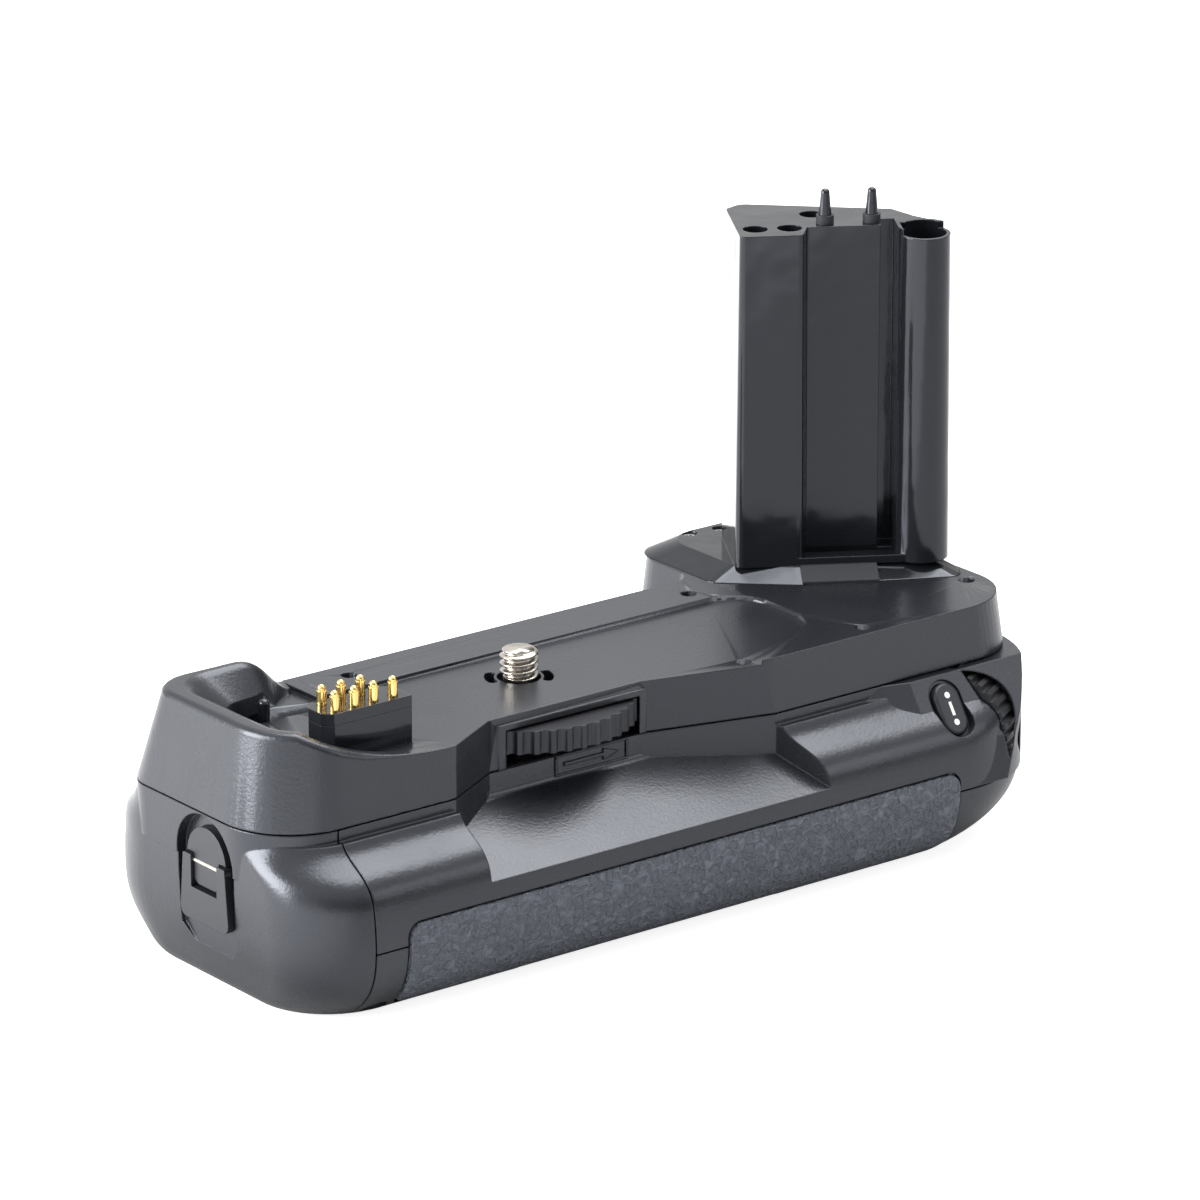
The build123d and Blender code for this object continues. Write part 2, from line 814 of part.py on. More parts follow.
# Top cover: drafted block, rim, recessed seat, thumb recess, wheel well and window
with BuildPart() as top_cover:
    with BuildSketch(Plane.XY.offset(-seam_drop)):
        add(outline(cover_corners(0, 0, 0)))
    with BuildSketch(Plane.XY.offset(rim_rise)):
        add(outline(cover_corners(end_draft, rear_draft, front_draft)))
    loft(ruled=True)
    add(rim_roof(), mode=Mode.SUBTRACT)
    with BuildSketch(Plane.XY):
        add(outline(((-rim_swoop_end, -rear_wall - overrun, 0), (-rim_swoop_end, tray_front, 0),
                     (tray_right, tray_front, tray_corner), (tray_right, -tray_rear_bend, tray_rear_corner),
                     (tray_rear_exit, -rear_wall - overrun, 0))))
    extrude(amount=rim_rise + overrun, mode=Mode.SUBTRACT)
    with BuildSketch(Plane.XY) as rim_floor:
        with BuildLine():
            Polyline((-shelf_left, rim_front), (-rim_left, rim_front), (-rim_left, -rim_rear),
                     (-rim_swoop_end, -rim_rear), (-rim_swoop_end, tray_front), (-shelf_right, tray_front))
            ThreePointArc((-shelf_right, tray_front), (-shelf_middle, shelf_middle_y), (-shelf_left, rim_front))
        make_face()
        fillet(rim_floor.vertices().sort_by_distance((-rim_left, -rim_rear))[0], rim_corner)
        fillet(rim_floor.vertices().sort_by_distance((-rim_left, rim_front))[0], rim_front_corner)
    extrude(amount=rim_rise + overrun, mode=Mode.SUBTRACT)
    with BuildSketch(Plane.XY.offset(slope_start)) as rim_slope:
        with BuildLine():
            Polyline((-shelf_left, rim_front), (-slope_left, rim_front), (-slope_left, -slope_rear),
                     (-shelf_right, -slope_rear), (-shelf_right, tray_front))
            ThreePointArc((-shelf_right, tray_front), (-shelf_middle, shelf_middle_y), (-shelf_left, rim_front))
        make_face()
        fillet(rim_slope.vertices().sort_by_distance((-slope_left, -slope_rear))[0], rim_front_corner)
    extrude(amount=rim_rise - slope_start + overrun, taper=-slope_angle, mode=Mode.SUBTRACT)
    with BuildSketch(Plane.XY):
        with BuildLine():
            ThreePointArc((-shelf_right, tray_front), (-shelf_middle, shelf_middle_y), (-shelf_left, rim_front))
            ThreePointArc((-shelf_left, rim_front), (-crescent_middle, crescent_middle_y),
                          (-shelf_right, tray_front))
        make_face()
    extrude(amount=-crescent_depth, mode=Mode.SUBTRACT)
    add(thumb_scoop(), mode=Mode.SUBTRACT)
    with BuildSketch(Plane.XZ.offset(recess_wall - overrun)):
        with Locations((0, -seam_drop)):
            Rectangle(window_half_width + window_half_width + window_lip_width + window_lip_width,
                      seam_drop + well_top + window_lip_width, align=(Align.CENTER, Align.MIN))
    extrude(amount=overrun + window_lip)
    with BuildSketch(Plane.XY.offset(-seam_drop)):
        Circle(well_radius)
    extrude(amount=seam_drop + well_top, mode=Mode.SUBTRACT)
    with BuildSketch(Plane.XY.offset(-seam_drop)):
        RectangleRounded(plate_half_length + plate_half_length, plate_half_width + plate_half_width, plate_corner)
    extrude(amount=seam_drop + plate_top, mode=Mode.SUBTRACT)
    with BuildSketch(Plane.XY.offset(well_top)):
        Circle(screw_hole_diameter / 2)
        for side in (post_turn, post_turn + 180):
            SlotArc(CenterArc((0, 0), ear_radius, side - ear_angle / 2, ear_angle), ear_width)
    extrude(amount=-well_top, mode=Mode.SUBTRACT)
    with BuildSketch(Plane.XY):
        with Locations((-block_left + block_length / 2, -block_rear + block_width / 2)):
            Rectangle(block_length - block_tenon_inset * 2, block_width - block_tenon_inset * 2)
        with Locations((locating_pin_x, locating_pin_y)):
            Circle(locating_pin_diameter / 2)
    extrude(amount=-block_tenon, mode=Mode.SUBTRACT)
    add(screw_holes(cover_screw_places), mode=Mode.SUBTRACT)
    with Locations(*insert_screw_places):
        Cylinder(cover_screw_shank / 2, cover_screw_length, align=downward, mode=Mode.SUBTRACT)
save(top_cover, "top_cover")

# Lock wheel, tripod screw and what holds them
with BuildPart() as lock_wheel:
    with BuildSketch(Plane.XY.offset(wheel_floor)):
        Circle(wheel_radius)
        with PolarLocations(wheel_radius + tooth_radius * (1 - tooth_bite_share), wheel_teeth):
            Circle(tooth_radius, mode=Mode.SUBTRACT)
    extrude(amount=wheel_thickness)
    with BuildSketch(Plane.XY.offset(wheel_floor - wheel_gap + running_gap)):
        Circle(hub_radius)
    extrude(amount=wheel_gap)
    with BuildSketch(Plane.XY.offset(plate_bottom)):
        Circle(shank_diameter / 2)
    extrude(amount=seam_drop, mode=Mode.SUBTRACT)
save(lock_wheel, "lock_wheel")

with BuildPart() as tripod_screw:
    with BuildSketch(Plane.XY.offset(plate_bottom - clip_thickness - screw_tail)):
        Circle(shank_diameter / 2)
    extrude(amount=screw_relief + screw_tail + clip_thickness - plate_bottom)
    with BuildSketch(Plane.XY.offset(screw_relief)):
        Circle(screw_diameter / 2)
    extrude(amount=screw_rise - screw_relief)
    chamfer(tripod_screw.edges().sort_by(Axis.Z)[-1], screw_chamfer)
save(tripod_screw, "tripod_screw")

with BuildPart() as screw_clip:
    with BuildSketch(Plane.XY.offset(plate_bottom - running_gap - clip_thickness)):
        Circle(clip_radius)
        Circle(shank_diameter / 2, mode=Mode.SUBTRACT)
    extrude(amount=clip_thickness)
save(screw_clip, "screw_clip")

with BuildPart() as wheel_plate:
    with BuildSketch(Plane.XY.offset(plate_bottom)):
        RectangleRounded(plate_half_length + plate_half_length, plate_half_width + plate_half_width, plate_corner)
        Circle(shank_diameter / 2 + running_gap, mode=Mode.SUBTRACT)
    extrude(amount=plate_thickness)
save(wheel_plate, "wheel_plate")

# Contact block, its cap, the barrels and the spring pins
pin_rear_y = -block_rear + (block_width - pin_row_gap) / 2
pin_front_y = pin_rear_y + pin_row_gap
pin_middle_x = -block_left + block_length / 2
pin_places = [(pin_middle_x + (i - (front_row_count - 1) / 2) * pin_pitch, pin_rear_y)
              for i in range(front_row_count)]
pin_places += [(pin_middle_x - pin_pitch / 2 + (i - (back_row_count - 1) / 2) * pin_pitch, pin_front_y)
               for i in range(back_row_count)]
pin_foot = block_rise - pin_stem
barrel_foot = pin_foot - pin_travel - barrel_floor
barrel_radius = pin_diameter / 2 + running_gap + barrel_wall


def block_plan(plane):
    """The contact block's plan on a level plane: its left corners and one rear corner are cut off."""
    left, right = -block_left, -block_left + block_length
    rear, front = -block_rear, -block_rear + block_width
    with BuildSketch(plane) as plan:
        with BuildLine():
            Polyline((left + block_corner, rear), (right, rear), (right, front - block_corner),
                     (right - block_corner, front), (left + block_corner, front),
                     (left, front - block_corner), (left, rear + block_corner), close=True)
        make_face()
    return plan.sketch


with BuildPart() as contact_block:
    add(block_plan(Plane.XY))
    extrude(amount=block_rise - block_cap)
    with BuildSketch(Plane.XY.offset(-block_tenon)):
        with Locations((pin_middle_x, -block_rear + block_width / 2)):
            Rectangle(block_length - block_tenon_inset * 2, block_width - block_tenon_inset * 2)
    extrude(amount=block_tenon)
    with BuildSketch(Plane.XY.offset(barrel_foot)):
        with Locations(*pin_places):
            Circle(barrel_radius)
    extrude(amount=block_rise, mode=Mode.SUBTRACT)
save(contact_block, "contact_block")

with BuildPart() as contact_cap:
    add(block_plan(Plane.XY.offset(block_rise - block_cap)))
    extrude(amount=block_cap)
    with BuildSketch(Plane.XY.offset(block_rise - block_cap)):
        with Locations(*pin_places):
            Circle(pin_diameter / 2 + running_gap)
    extrude(amount=block_cap, mode=Mode.SUBTRACT)
save(contact_cap, "contact_cap")

with BuildPart() as pin_barrels:
    with BuildSketch(Plane.XY.offset(barrel_foot)):
        with Locations(*pin_places):
            Circle(barrel_radius)
    extrude(amount=block_rise - block_cap - barrel_foot)
    with BuildSketch(Plane.XY.offset(barrel_foot + barrel_floor)):
        with Locations(*pin_places):
            Circle(pin_diameter / 2 + running_gap)
    extrude(amount=block_rise, mode=Mode.SUBTRACT)
save(pin_barrels, "pin_barrels")

for number, (x, y) in enumerate(pin_places, start=1):
    with BuildPart() as contact_pin:
        with BuildSketch(Plane(origin=(x, y, pin_foot), x_dir=(1, 0, 0), z_dir=(0, -1, 0))):
            tip_radius = pin_tip_diameter / 2
            shoulder = pin_stem + pin_rise - pin_tip_rise
            with BuildLine():
                Polyline((0, pin_stem + pin_rise), (0, 0), (pin_diameter / 2, 0), (pin_diameter / 2, shoulder),
                         (tip_radius, shoulder), (tip_radius, pin_stem + pin_rise - tip_radius))
                ThreePointArc((tip_radius, pin_stem + pin_rise - tip_radius),
                              (tip_radius * sin(radians(45)), pin_stem + pin_rise
                               - tip_radius * (1 - cos(radians(45)))), (0, pin_stem + pin_rise))
            make_face()
        revolve(axis=Axis((x, y, 0), (0, 0, 1)))
    save(contact_pin, "contact_pin_" + str(number))

with BuildPart() as locating_pin:
    with Locations((locating_pin_x, locating_pin_y, -block_tenon)):
        Cylinder(locating_pin_diameter / 2, block_tenon + locating_pin_rise,
                 align=(Align.CENTER, Align.CENTER, Align.MIN))
    fillet(locating_pin.edges().sort_by(Axis.Z)[-1], locating_pin_diameter / 2 - running_gap)
save(locating_pin, "locating_pin")

# Chamber insert: bevelled flange and the tall post that fills the camera's battery chamber
catch_plane = Plane(origin=post_frame.from_local_coords((catch_start, 0, -flange_rise)),
                    x_dir=post_frame.y_dir, z_dir=post_frame.x_dir)
post_corners = ((0, 0, post_corner), (0, post_depth - post_far_corner, post_corner),
                (post_far_corner, post_depth, post_far_corner), (post_far_right, post_far_right_y, post_corner),
                (post_shoulder_x, post_shoulder_y, post_corner), (post_right, post_right_rear, post_corner),
                (post_recess_end, post_recess_depth, 0), (post_lobe_width + post_corner, post_recess_depth, 0),
                (post_lobe_width, 0, post_corner))


def flange_corners(side, near):
    """The flange's outline, drawn in by its bevel at the left side and all other sides."""
    left, right, far = flange_left + side, flange_right - near, flange_far - near
    return ((left, far, flange_far_corner), (left, flange_near_left, flange_corner),
            (flange_bend_x + near * flange_bend_share, flange_bend_y + near, flange_bend_corner),
            (right - flange_near_turn, -flange_near_right + near + near, flange_near_corner),
            (right, -flange_near_turn + near, flange_near_corner), (right, far, extension_corner))


with BuildPart() as chamber_insert:
    with BuildSketch(Plane.XY.offset(seat_lip)):
        add(outline(flange_corners(0, 0)))
    with BuildSketch(Plane.XY.offset(flange_top)):
        add(outline(flange_corners(flange_side_bevel, flange_bevel)))
    loft(ruled=True)
    with BuildSketch(post_frame):
        add(outline(post_corners))
    extrude(amount=post_height, taper=post_draft)
    with BuildSketch(post_frame):
        with Locations((tube_x, tube_y)):
            Circle(tube_diameter / 2)
    extrude(amount=post_height, taper=post_draft)
    with BuildSketch(post_frame):
        with Locations((sill_start + sill_length / 2, sill_depth / 2)):
            Rectangle(sill_length, sill_depth)
    extrude(amount=sill_rise)
    with BuildSketch(post_frame.offset(sill_rise)):
        with Locations((groove_left + groove_width / 2, post_recess_depth)):
            Rectangle(groove_width, groove_depth * 2)
    extrude(amount=post_height, mode=Mode.SUBTRACT)
    with BuildSketch(post_top_frame.offset(-tube_drop)):
        with Locations((tube_x + tube_diameter / 4, tube_y - tube_diameter / 4)):
            Rectangle(tube_diameter + groove_width, tube_diameter, align=(Align.CENTER, Align.CENTER))
    extrude(amount=tube_drop + overrun, mode=Mode.SUBTRACT)
    with BuildSketch(post_top_frame.offset(-tube_drop - tube_bore_depth)):
        with Locations((tube_x, tube_y)):
            Circle(tube_bore / 2)
    extrude(amount=tube_bore_depth + tube_drop + overrun, mode=Mode.SUBTRACT)
    with BuildSketch(post_top_frame.offset(-lobe_hole_depth)):
        with Locations((lobe_hole_left, lobe_hole_y), (lobe_hole_left + lobe_hole_pitch, lobe_hole_y),
                       (rear_hole_x, rear_hole_y)):
            Circle(lobe_hole_diameter / 2)
    extrude(amount=lobe_hole_depth + overrun, mode=Mode.SUBTRACT)
    with BuildSketch(post_top_frame.offset(-terminal_root)):
        with Locations((terminal_left_x, terminal_y), (terminal_right_x, terminal_y)):
            Circle(terminal_base / 2)
    extrude(amount=terminal_root + overrun, mode=Mode.SUBTRACT)
    add(screw_holes(insert_screw_places), mode=Mode.SUBTRACT)
    with BuildSketch(catch_plane):
        with Locations(((catch_high + catch_edge - catch_low) / 2, flange_rise / 2)):
            Rectangle(catch_low + catch_high + catch_edge, flange_rise)
        with Locations((-catch_low, flange_rise / 2)):
            Rectangle(catch_low * 2, flange_rise)
    extrude(amount=catch_length, mode=Mode.SUBTRACT)
save(chamber_insert, "chamber_insert")

with BuildPart() as terminal_pins:
    with BuildSketch(post_top_frame.offset(-terminal_root)):
        with Locations((terminal_left_x, terminal_y), (terminal_right_x, terminal_y)):
            Circle(terminal_base / 2)
    extrude(amount=terminal_root + collar_rise)
    for x in (terminal_left_x, terminal_right_x):
        with BuildSketch(post_top_frame.offset(collar_rise)):
            with Locations((x, terminal_y)):
                Circle(terminal_base / 2)
        with BuildSketch(post_top_frame.offset(terminal_rise)):
            with Locations((x, terminal_y)):
                Circle(terminal_tip / 2)
        loft()
    fillet(terminal_pins.edges().group_by(Axis.Z)[-1], terminal_tip / 2 - running_gap)
save(terminal_pins, "terminal_pins")

with BuildPart() as terminal_collars:
    with BuildSketch(post_top_frame):
        with Locations((terminal_left_x, terminal_y), (terminal_right_x, terminal_y)):
            Circle(collar_diameter / 2)
            Circle(terminal_base / 2, mode=Mode.SUBTRACT)
    extrude(amount=collar_rise)
save(terminal_collars, "terminal_collars")

# Catch strip that lies in a notch across the bevel at the foot of the post
with BuildPart() as insert_catch:
    with BuildSketch(catch_plane):
        with BuildLine():
            Polyline((-catch_low, 0), (-catch_low, catch_lip), (catch_high, flange_rise + catch_rise),
                     (catch_high + catch_edge, flange_rise + catch_rise), (catch_high + catch_edge, 0), close=True)
        make_face()
    extrude(amount=catch_length)
save(insert_catch, "insert_catch")

save(screws(cover_screw_places), "cover_screws")
save(screws(insert_screw_places), "insert_screws")

with BuildPart() as base_screws:
    with Locations(*[(x, y, base_screw_seat) for x, y in base_screw_places]):
        Cylinder(base_screw_head / 2 - running_gap, cover_screw_head_height, align=downward)
        Cylinder(cover_screw_shank / 2, base_screw_length, align=upward)
save(base_screws, "base_screws")

with BuildPart() as tripod_bush:
    with Locations((0, 0, base_floor)):
        Cylinder(bush_radius, bush_length, align=upward)
        Cylinder(bush_bore / 2, bush_length, align=upward, mode=Mode.SUBTRACT)
save(tripod_bush, "tripod_bush")

# Grip pads, inlaid a little proud of the casing
with BuildPart() as pad_layer:
    add(swollen_casing(-pad_proud))
    add(pad_bed, mode=Mode.SUBTRACT)
    add(thumb_scoop(), mode=Mode.SUBTRACT)

with BuildPart() as rear_grip_pad:
    add(pad_layer.part)
    add(pad_window(pad_left, pad_right, pad_top_drop, False, 0), mode=Mode.INTERSECT)
save(rear_grip_pad, "rear_grip_pad")

with BuildPart() as front_grip_pad:
    add(pad_layer.part)
    add(pad_window(front_pad_left, front_pad_right, front_pad_top_drop, True, 0), mode=Mode.INTERSECT)
save(front_grip_pad, "front_grip_pad")

# Dials with their shafts
save(dial(rear_dial_frame), "rear_dial")
save(dial(front_dial_frame), "front_dial")
save(dial_axle(rear_dial_frame), "rear_dial_shaft")
save(dial_axle(front_dial_frame), "front_dial_shaft")

# Rear button and its switch
with BuildPart() as rear_button:
    with BuildSketch(button_frame.offset(-button_depth)):
        SlotOverall(button_length, button_width, rotation=90)
    extrude(amount=button_depth + button_rise)
    fillet(rear_button.faces().sort_by(Axis(button_frame.origin, button_frame.z_dir))[-1].edges(),
           button_rise - running_gap)
save(rear_button, "rear_button")
save(press_switch(button_frame.offset(-button_depth - button_travel - switch_height
                                      - switch_dome_height - switch_gap)), "rear_switch")

# Shutter button, its lock ring and its switch
with BuildPart() as shutter_button:
    with BuildSketch(shutter_frame(shutter_back)):
        Circle(shutter_radius)
    extrude(amount=shutter_length)
    fillet(shutter_button.edges().sort_by(Axis.X)[-1], shutter_dome)
save(shutter_button, "shutter_button")
save(press_switch(shutter_frame(shutter_room)), "shutter_switch")

with BuildPart() as shutter_lock:
    with BuildSketch(shutter_frame(shutter_face)):
        Circle(ring_outer)
        Circle(sleeve_radius + running_gap, mode=Mode.SUBTRACT)
    extrude(amount=ring_thickness)
    with BuildSketch(shutter_frame(shutter_face + ring_thickness / 2 + knob_gap)):
        with PolarLocations((sleeve_radius + ring_outer) / 2, 1, start_angle=ring_lever_turn):
            Rectangle(ring_outer - sleeve_radius + ring_lever_reach, ring_lever_width, align=(Align.MIN, Align.CENTER))
        Circle(sleeve_radius + running_gap, mode=Mode.SUBTRACT)
    extrude(amount=ring_thickness / 2 - knob_gap)
save(shutter_lock, "shutter_lock")

# Circuit board under the cover and its components
with BuildPart() as circuit_board:
    with BuildSketch(Plane.XY.offset(board_floor)):
        with Locations(((board_right - board_left) / 2, (board_front - board_rear) / 2)):
            RectangleRounded(board_left + board_right, board_rear + board_front, plate_corner)
    extrude(amount=board_thickness)
save(circuit_board, "circuit_board")

with BuildPart() as board_components:
    for x, y, length, width in chips:
        with Locations((x, y, board_floor + board_thickness)):
            Box(length, width, chip_height, align=upward)
save(board_components, "board_components")

# End cap that closes the bay and carries the latch
latch_frame = Plane(origin=(-latch_face, latch_y, -latch_drop), x_dir=(0, -1, 0), z_dir=(-1, 0, 0))
knob_radius = knob_diameter / 2
flap_floor = flap_proud - flap_thickness
cavity_floor = -latch_face - holder_left
bolt_floor = cavity_floor + bolt_cavity - bolt_room - bolt_thickness
flap_pin_line = Plane(origin=latch_frame.from_local_coords((0, -flap_pin_drop, flap_floor + flap_thickness / 2)),
                      x_dir=latch_frame.y_dir, z_dir=latch_frame.x_dir)


def latch_dish():
    """The hollow round the latch: a disc and a tapered toe, wider on the side the flap swings to."""
    with BuildPart() as dish:
        with BuildSketch(latch_frame.offset(-dish_depth)) as plan:
            with BuildLine():
                Polyline((-dish_radius, 0), (-flap_toe_half_width - dish_swing_gap, -dish_toe + dish_corner),
                         (-dish_toe_half_width, -dish_toe), (dish_toe_half_width, -dish_toe),
                         (flap_toe_half_width + dish_side_gap, -dish_toe + dish_corner), (dish_radius, 0), close=True)
            make_face()
            Circle(dish_radius)
        extrude(amount=dish_depth + overrun)
    return dish.part


with BuildPart() as end_cap:
    add(shell.part)
    add(slab(-base_drop, housing_top, -left_reach - overrun, holder_left), mode=Mode.INTERSECT)
    add(latch_dish(), mode=Mode.SUBTRACT)
    with BuildSketch(latch_frame.offset(-knob_thickness - running_gap)):
        Circle(knob_radius + running_gap)
    extrude(amount=knob_thickness, mode=Mode.SUBTRACT)
    with BuildSketch(latch_frame.offset(cavity_floor)):
        Circle(bolt_stem_diameter / 2 + running_gap)
    extrude(amount=latch_face, mode=Mode.SUBTRACT)
    with BuildSketch(latch_frame.offset(cavity_floor)):
        Circle(bolt_length / 2 + bolt_room)
    extrude(amount=bolt_cavity, mode=Mode.SUBTRACT)
save(end_cap, "end_cap")

# Latch: knob with its tongue and stem, the bolt on the stem, the flap and its hinge pin
with BuildPart() as latch_knob:
    with BuildSketch(latch_frame.offset(-knob_thickness)):
        Circle(knob_radius)
    extrude(amount=knob_thickness - tongue_thickness)
    with BuildSketch(latch_frame.offset(-tongue_thickness)):
        Circle(knob_radius)
        with Locations((0, flap_gap)):
            Rectangle(knob_diameter, knob_diameter, align=(Align.CENTER, Align.MAX), mode=Mode.SUBTRACT)
            Rectangle(tongue_width, tongue_drop + flap_gap, align=(Align.CENTER, Align.MAX))
        Circle(knob_radius, mode=Mode.INTERSECT)
    extrude(amount=tongue_thickness)
    with BuildSketch(latch_frame.offset(bolt_floor)):
        Circle(bolt_stem_diameter / 2)
    extrude(amount=-bolt_floor - knob_thickness)
    with BuildSketch(flap_pin_line.offset(-knob_radius)):
        Circle(flap_pin_diameter / 2)
    extrude(amount=knob_diameter, mode=Mode.SUBTRACT)
save(latch_knob, "latch_knob")

with BuildPart() as latch_bolt:
    with BuildSketch(latch_frame.offset(bolt_floor)):
        SlotOverall(bolt_length, bolt_width + bolt_room, rotation=90)
        Circle(bolt_stem_diameter / 2, mode=Mode.SUBTRACT)
    extrude(amount=bolt_thickness)
save(latch_bolt, "latch_bolt")

with BuildPart() as latch_flap:
    with BuildSketch(latch_frame.offset(flap_floor)):
        add(outline(((-flap_half_width, 0, flap_gap), (-flap_toe_half_width, -flap_length, flap_corner),
                     (flap_toe_half_width, -flap_length, flap_corner), (flap_half_width, 0, flap_gap))))
        Rectangle(tongue_width + flap_gap, tongue_drop + flap_gap + flap_gap, align=(Align.CENTER, Align.MAX),
                  mode=Mode.SUBTRACT)
    extrude(amount=flap_thickness)
    with BuildSketch(flap_pin_line.offset(-flap_toe_half_width)):
        Circle(flap_pin_diameter / 2 + running_gap)
    extrude(amount=flap_toe_half_width * 2, mode=Mode.SUBTRACT)
save(latch_flap, "latch_flap")

with BuildPart() as flap_pin:
    with BuildSketch(flap_pin_line.offset(-flap_half_width)):
        Circle(flap_pin_diameter / 2)
    extrude(amount=flap_half_width * 2)
save(flap_pin, "flap_pin")

# Cell holder: a drawer with a trough under each cell, open above the cells
trough_length = cell_length + cell_nub + contact_thickness + contact_thickness
trough_starts = [holder_left + holder_wall + i * (trough_length + holder_wall) for i in range(cells_along)]
trough_lines = [bay_centre + (j - (cells_across - 1) / 2) * cell_pitch for j in range(cells_across)]
holder_half_width = bay_half_width - bay_clearance
holder_height = bay_height - bay_clearance - bay_clearance
with BuildPart() as cell_holder:
    with Locations((holder_left, bay_centre, -cell_drop)):
        Box(holder_length, holder_half_width * 2, holder_height, align=(Align.MIN, Align.CENTER, Align.CENTER))
    with Locations(*[(x, bay_centre, -cell_drop) for x in trough_starts]):
        Box(trough_length, (holder_half_width - holder_side) * 2, holder_height,
            align=(Align.MIN, Align.CENTER, Align.MIN), mode=Mode.SUBTRACT)
    for x in trough_starts:
        with BuildSketch(Plane.YZ.offset(x)):
            with Locations(*[(y, -cell_drop) for y in trough_lines]):
                Circle(cell_diameter / 2 + cell_gap)
        extrude(amount=trough_length, mode=Mode.SUBTRACT)
save(cell_holder, "cell_holder")

with BuildPart() as holder_contacts:
    with Locations(*[(x + end, y, -cell_drop) for x in trough_starts for y in trough_lines
                     for end in (0, trough_length - contact_thickness)]):
        Box(contact_thickness, contact_side, contact_side, align=(Align.MIN, Align.CENTER, Align.CENTER))
save(holder_contacts, "holder_contacts")

number = 0
for x in trough_starts:
    for row, y in enumerate(trough_lines):
        number += 1
        nub_first = row % 2 == 0
        foot = x + contact_thickness
        with BuildPart() as cell:
            with BuildSketch(Plane.YZ.offset(foot + cell_nub if nub_first else foot)):
                with Locations((y, -cell_drop)):
                    Circle(cell_diameter / 2)
            extrude(amount=cell_length)
            with BuildSketch(Plane.YZ.offset(foot if nub_first else foot + cell_length)):
                with Locations((y, -cell_drop)):
                    Circle(cell_nub_diameter / 2)
            extrude(amount=cell_nub)
        save(cell, "aa_cell_" + str(number))

with BuildPart() as bay_contacts:
    for y in (bay_centre - bay_contact_spread / 2, bay_centre + bay_contact_spread / 2):
        with Locations((bay_right, y, -bay_top_drop - contact_side)):
            Box(contact_thickness, contact_side, contact_side, align=(Align.MAX, Align.CENTER, Align.CENTER))
        with BuildSketch(Plane.YZ.offset(bay_right - bay_end_gap + body_gap)):
            with Locations((y, -bay_top_drop - contact_side)):
                Circle(bay_contact_radius)
        extrude(amount=bay_end_gap - body_gap - contact_thickness)
save(bay_contacts, "bay_contacts")
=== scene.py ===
# %% [markdown]
# # A camera battery grip
# The grip screws under a camera: a long moulded body with a bright tripod screw, a block of gold
# contact pins and a tall glossy post that fills the camera's battery chamber. The solids come from
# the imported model, so this lesson adds finishes, a rounded bowl wall, a thread and small marks.

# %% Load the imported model
import json
from math import atan2, cos, pi, radians, sin, tan
import bmesh
import bpy
from mathutils import Matrix, Vector
from mathutils.bvhtree import BVHTree


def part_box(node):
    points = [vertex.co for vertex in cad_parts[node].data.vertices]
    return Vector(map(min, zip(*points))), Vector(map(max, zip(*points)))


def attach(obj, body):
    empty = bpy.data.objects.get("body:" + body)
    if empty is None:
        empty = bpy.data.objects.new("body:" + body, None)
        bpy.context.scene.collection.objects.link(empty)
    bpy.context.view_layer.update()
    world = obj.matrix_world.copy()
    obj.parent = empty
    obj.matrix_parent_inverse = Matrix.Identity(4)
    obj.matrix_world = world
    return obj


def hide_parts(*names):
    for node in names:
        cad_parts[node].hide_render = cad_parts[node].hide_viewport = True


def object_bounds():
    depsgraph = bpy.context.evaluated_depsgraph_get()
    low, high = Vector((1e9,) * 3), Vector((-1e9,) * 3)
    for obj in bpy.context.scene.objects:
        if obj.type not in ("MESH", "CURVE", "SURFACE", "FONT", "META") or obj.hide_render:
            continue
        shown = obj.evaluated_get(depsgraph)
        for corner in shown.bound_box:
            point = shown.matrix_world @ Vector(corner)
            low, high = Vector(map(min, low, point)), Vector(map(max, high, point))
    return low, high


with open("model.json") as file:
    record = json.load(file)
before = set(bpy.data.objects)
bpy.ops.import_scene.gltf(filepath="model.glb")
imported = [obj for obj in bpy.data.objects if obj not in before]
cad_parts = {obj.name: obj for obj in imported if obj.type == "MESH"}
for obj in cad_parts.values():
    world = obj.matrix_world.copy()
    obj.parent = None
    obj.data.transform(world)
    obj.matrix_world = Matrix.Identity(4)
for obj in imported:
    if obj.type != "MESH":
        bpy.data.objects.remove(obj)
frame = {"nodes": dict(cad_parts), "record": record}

mm = 0.001
nodes = frame["nodes"]
cad_low, cad_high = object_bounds()
print("CAD box in mm:", [round(v / mm, 1) for v in cad_low], [round(v / mm, 1) for v in cad_high])

# %% [markdown]
# Two small helpers serve the whole lesson. One puts new data into the scene as an object, the other
# turns an object with its modifiers into a plain mesh.

# %% Scene helpers
def put_in_scene(name, data):
    """A new object with this data, linked into the scene."""
    piece = bpy.data.objects.new(name, data)
    bpy.context.scene.collection.objects.link(piece)
    return piece


def bake(piece):
    """Turns the modifiers into mesh and takes them away."""
    result = bpy.data.meshes.new_from_object(piece.evaluated_get(bpy.context.evaluated_depsgraph_get()))
    piece.modifiers.clear()
    piece.data = result


print("scene helpers ready")

# %% [markdown]
# ## The camera first
# The photograph was taken from behind the grip's left end, a little above it, with a long lens.
# The place and the direction were worked out from the slopes of the seams, so they are plain
# numbers in the grip's own frame. A long lens from over a metre away keeps the lines nearly parallel.

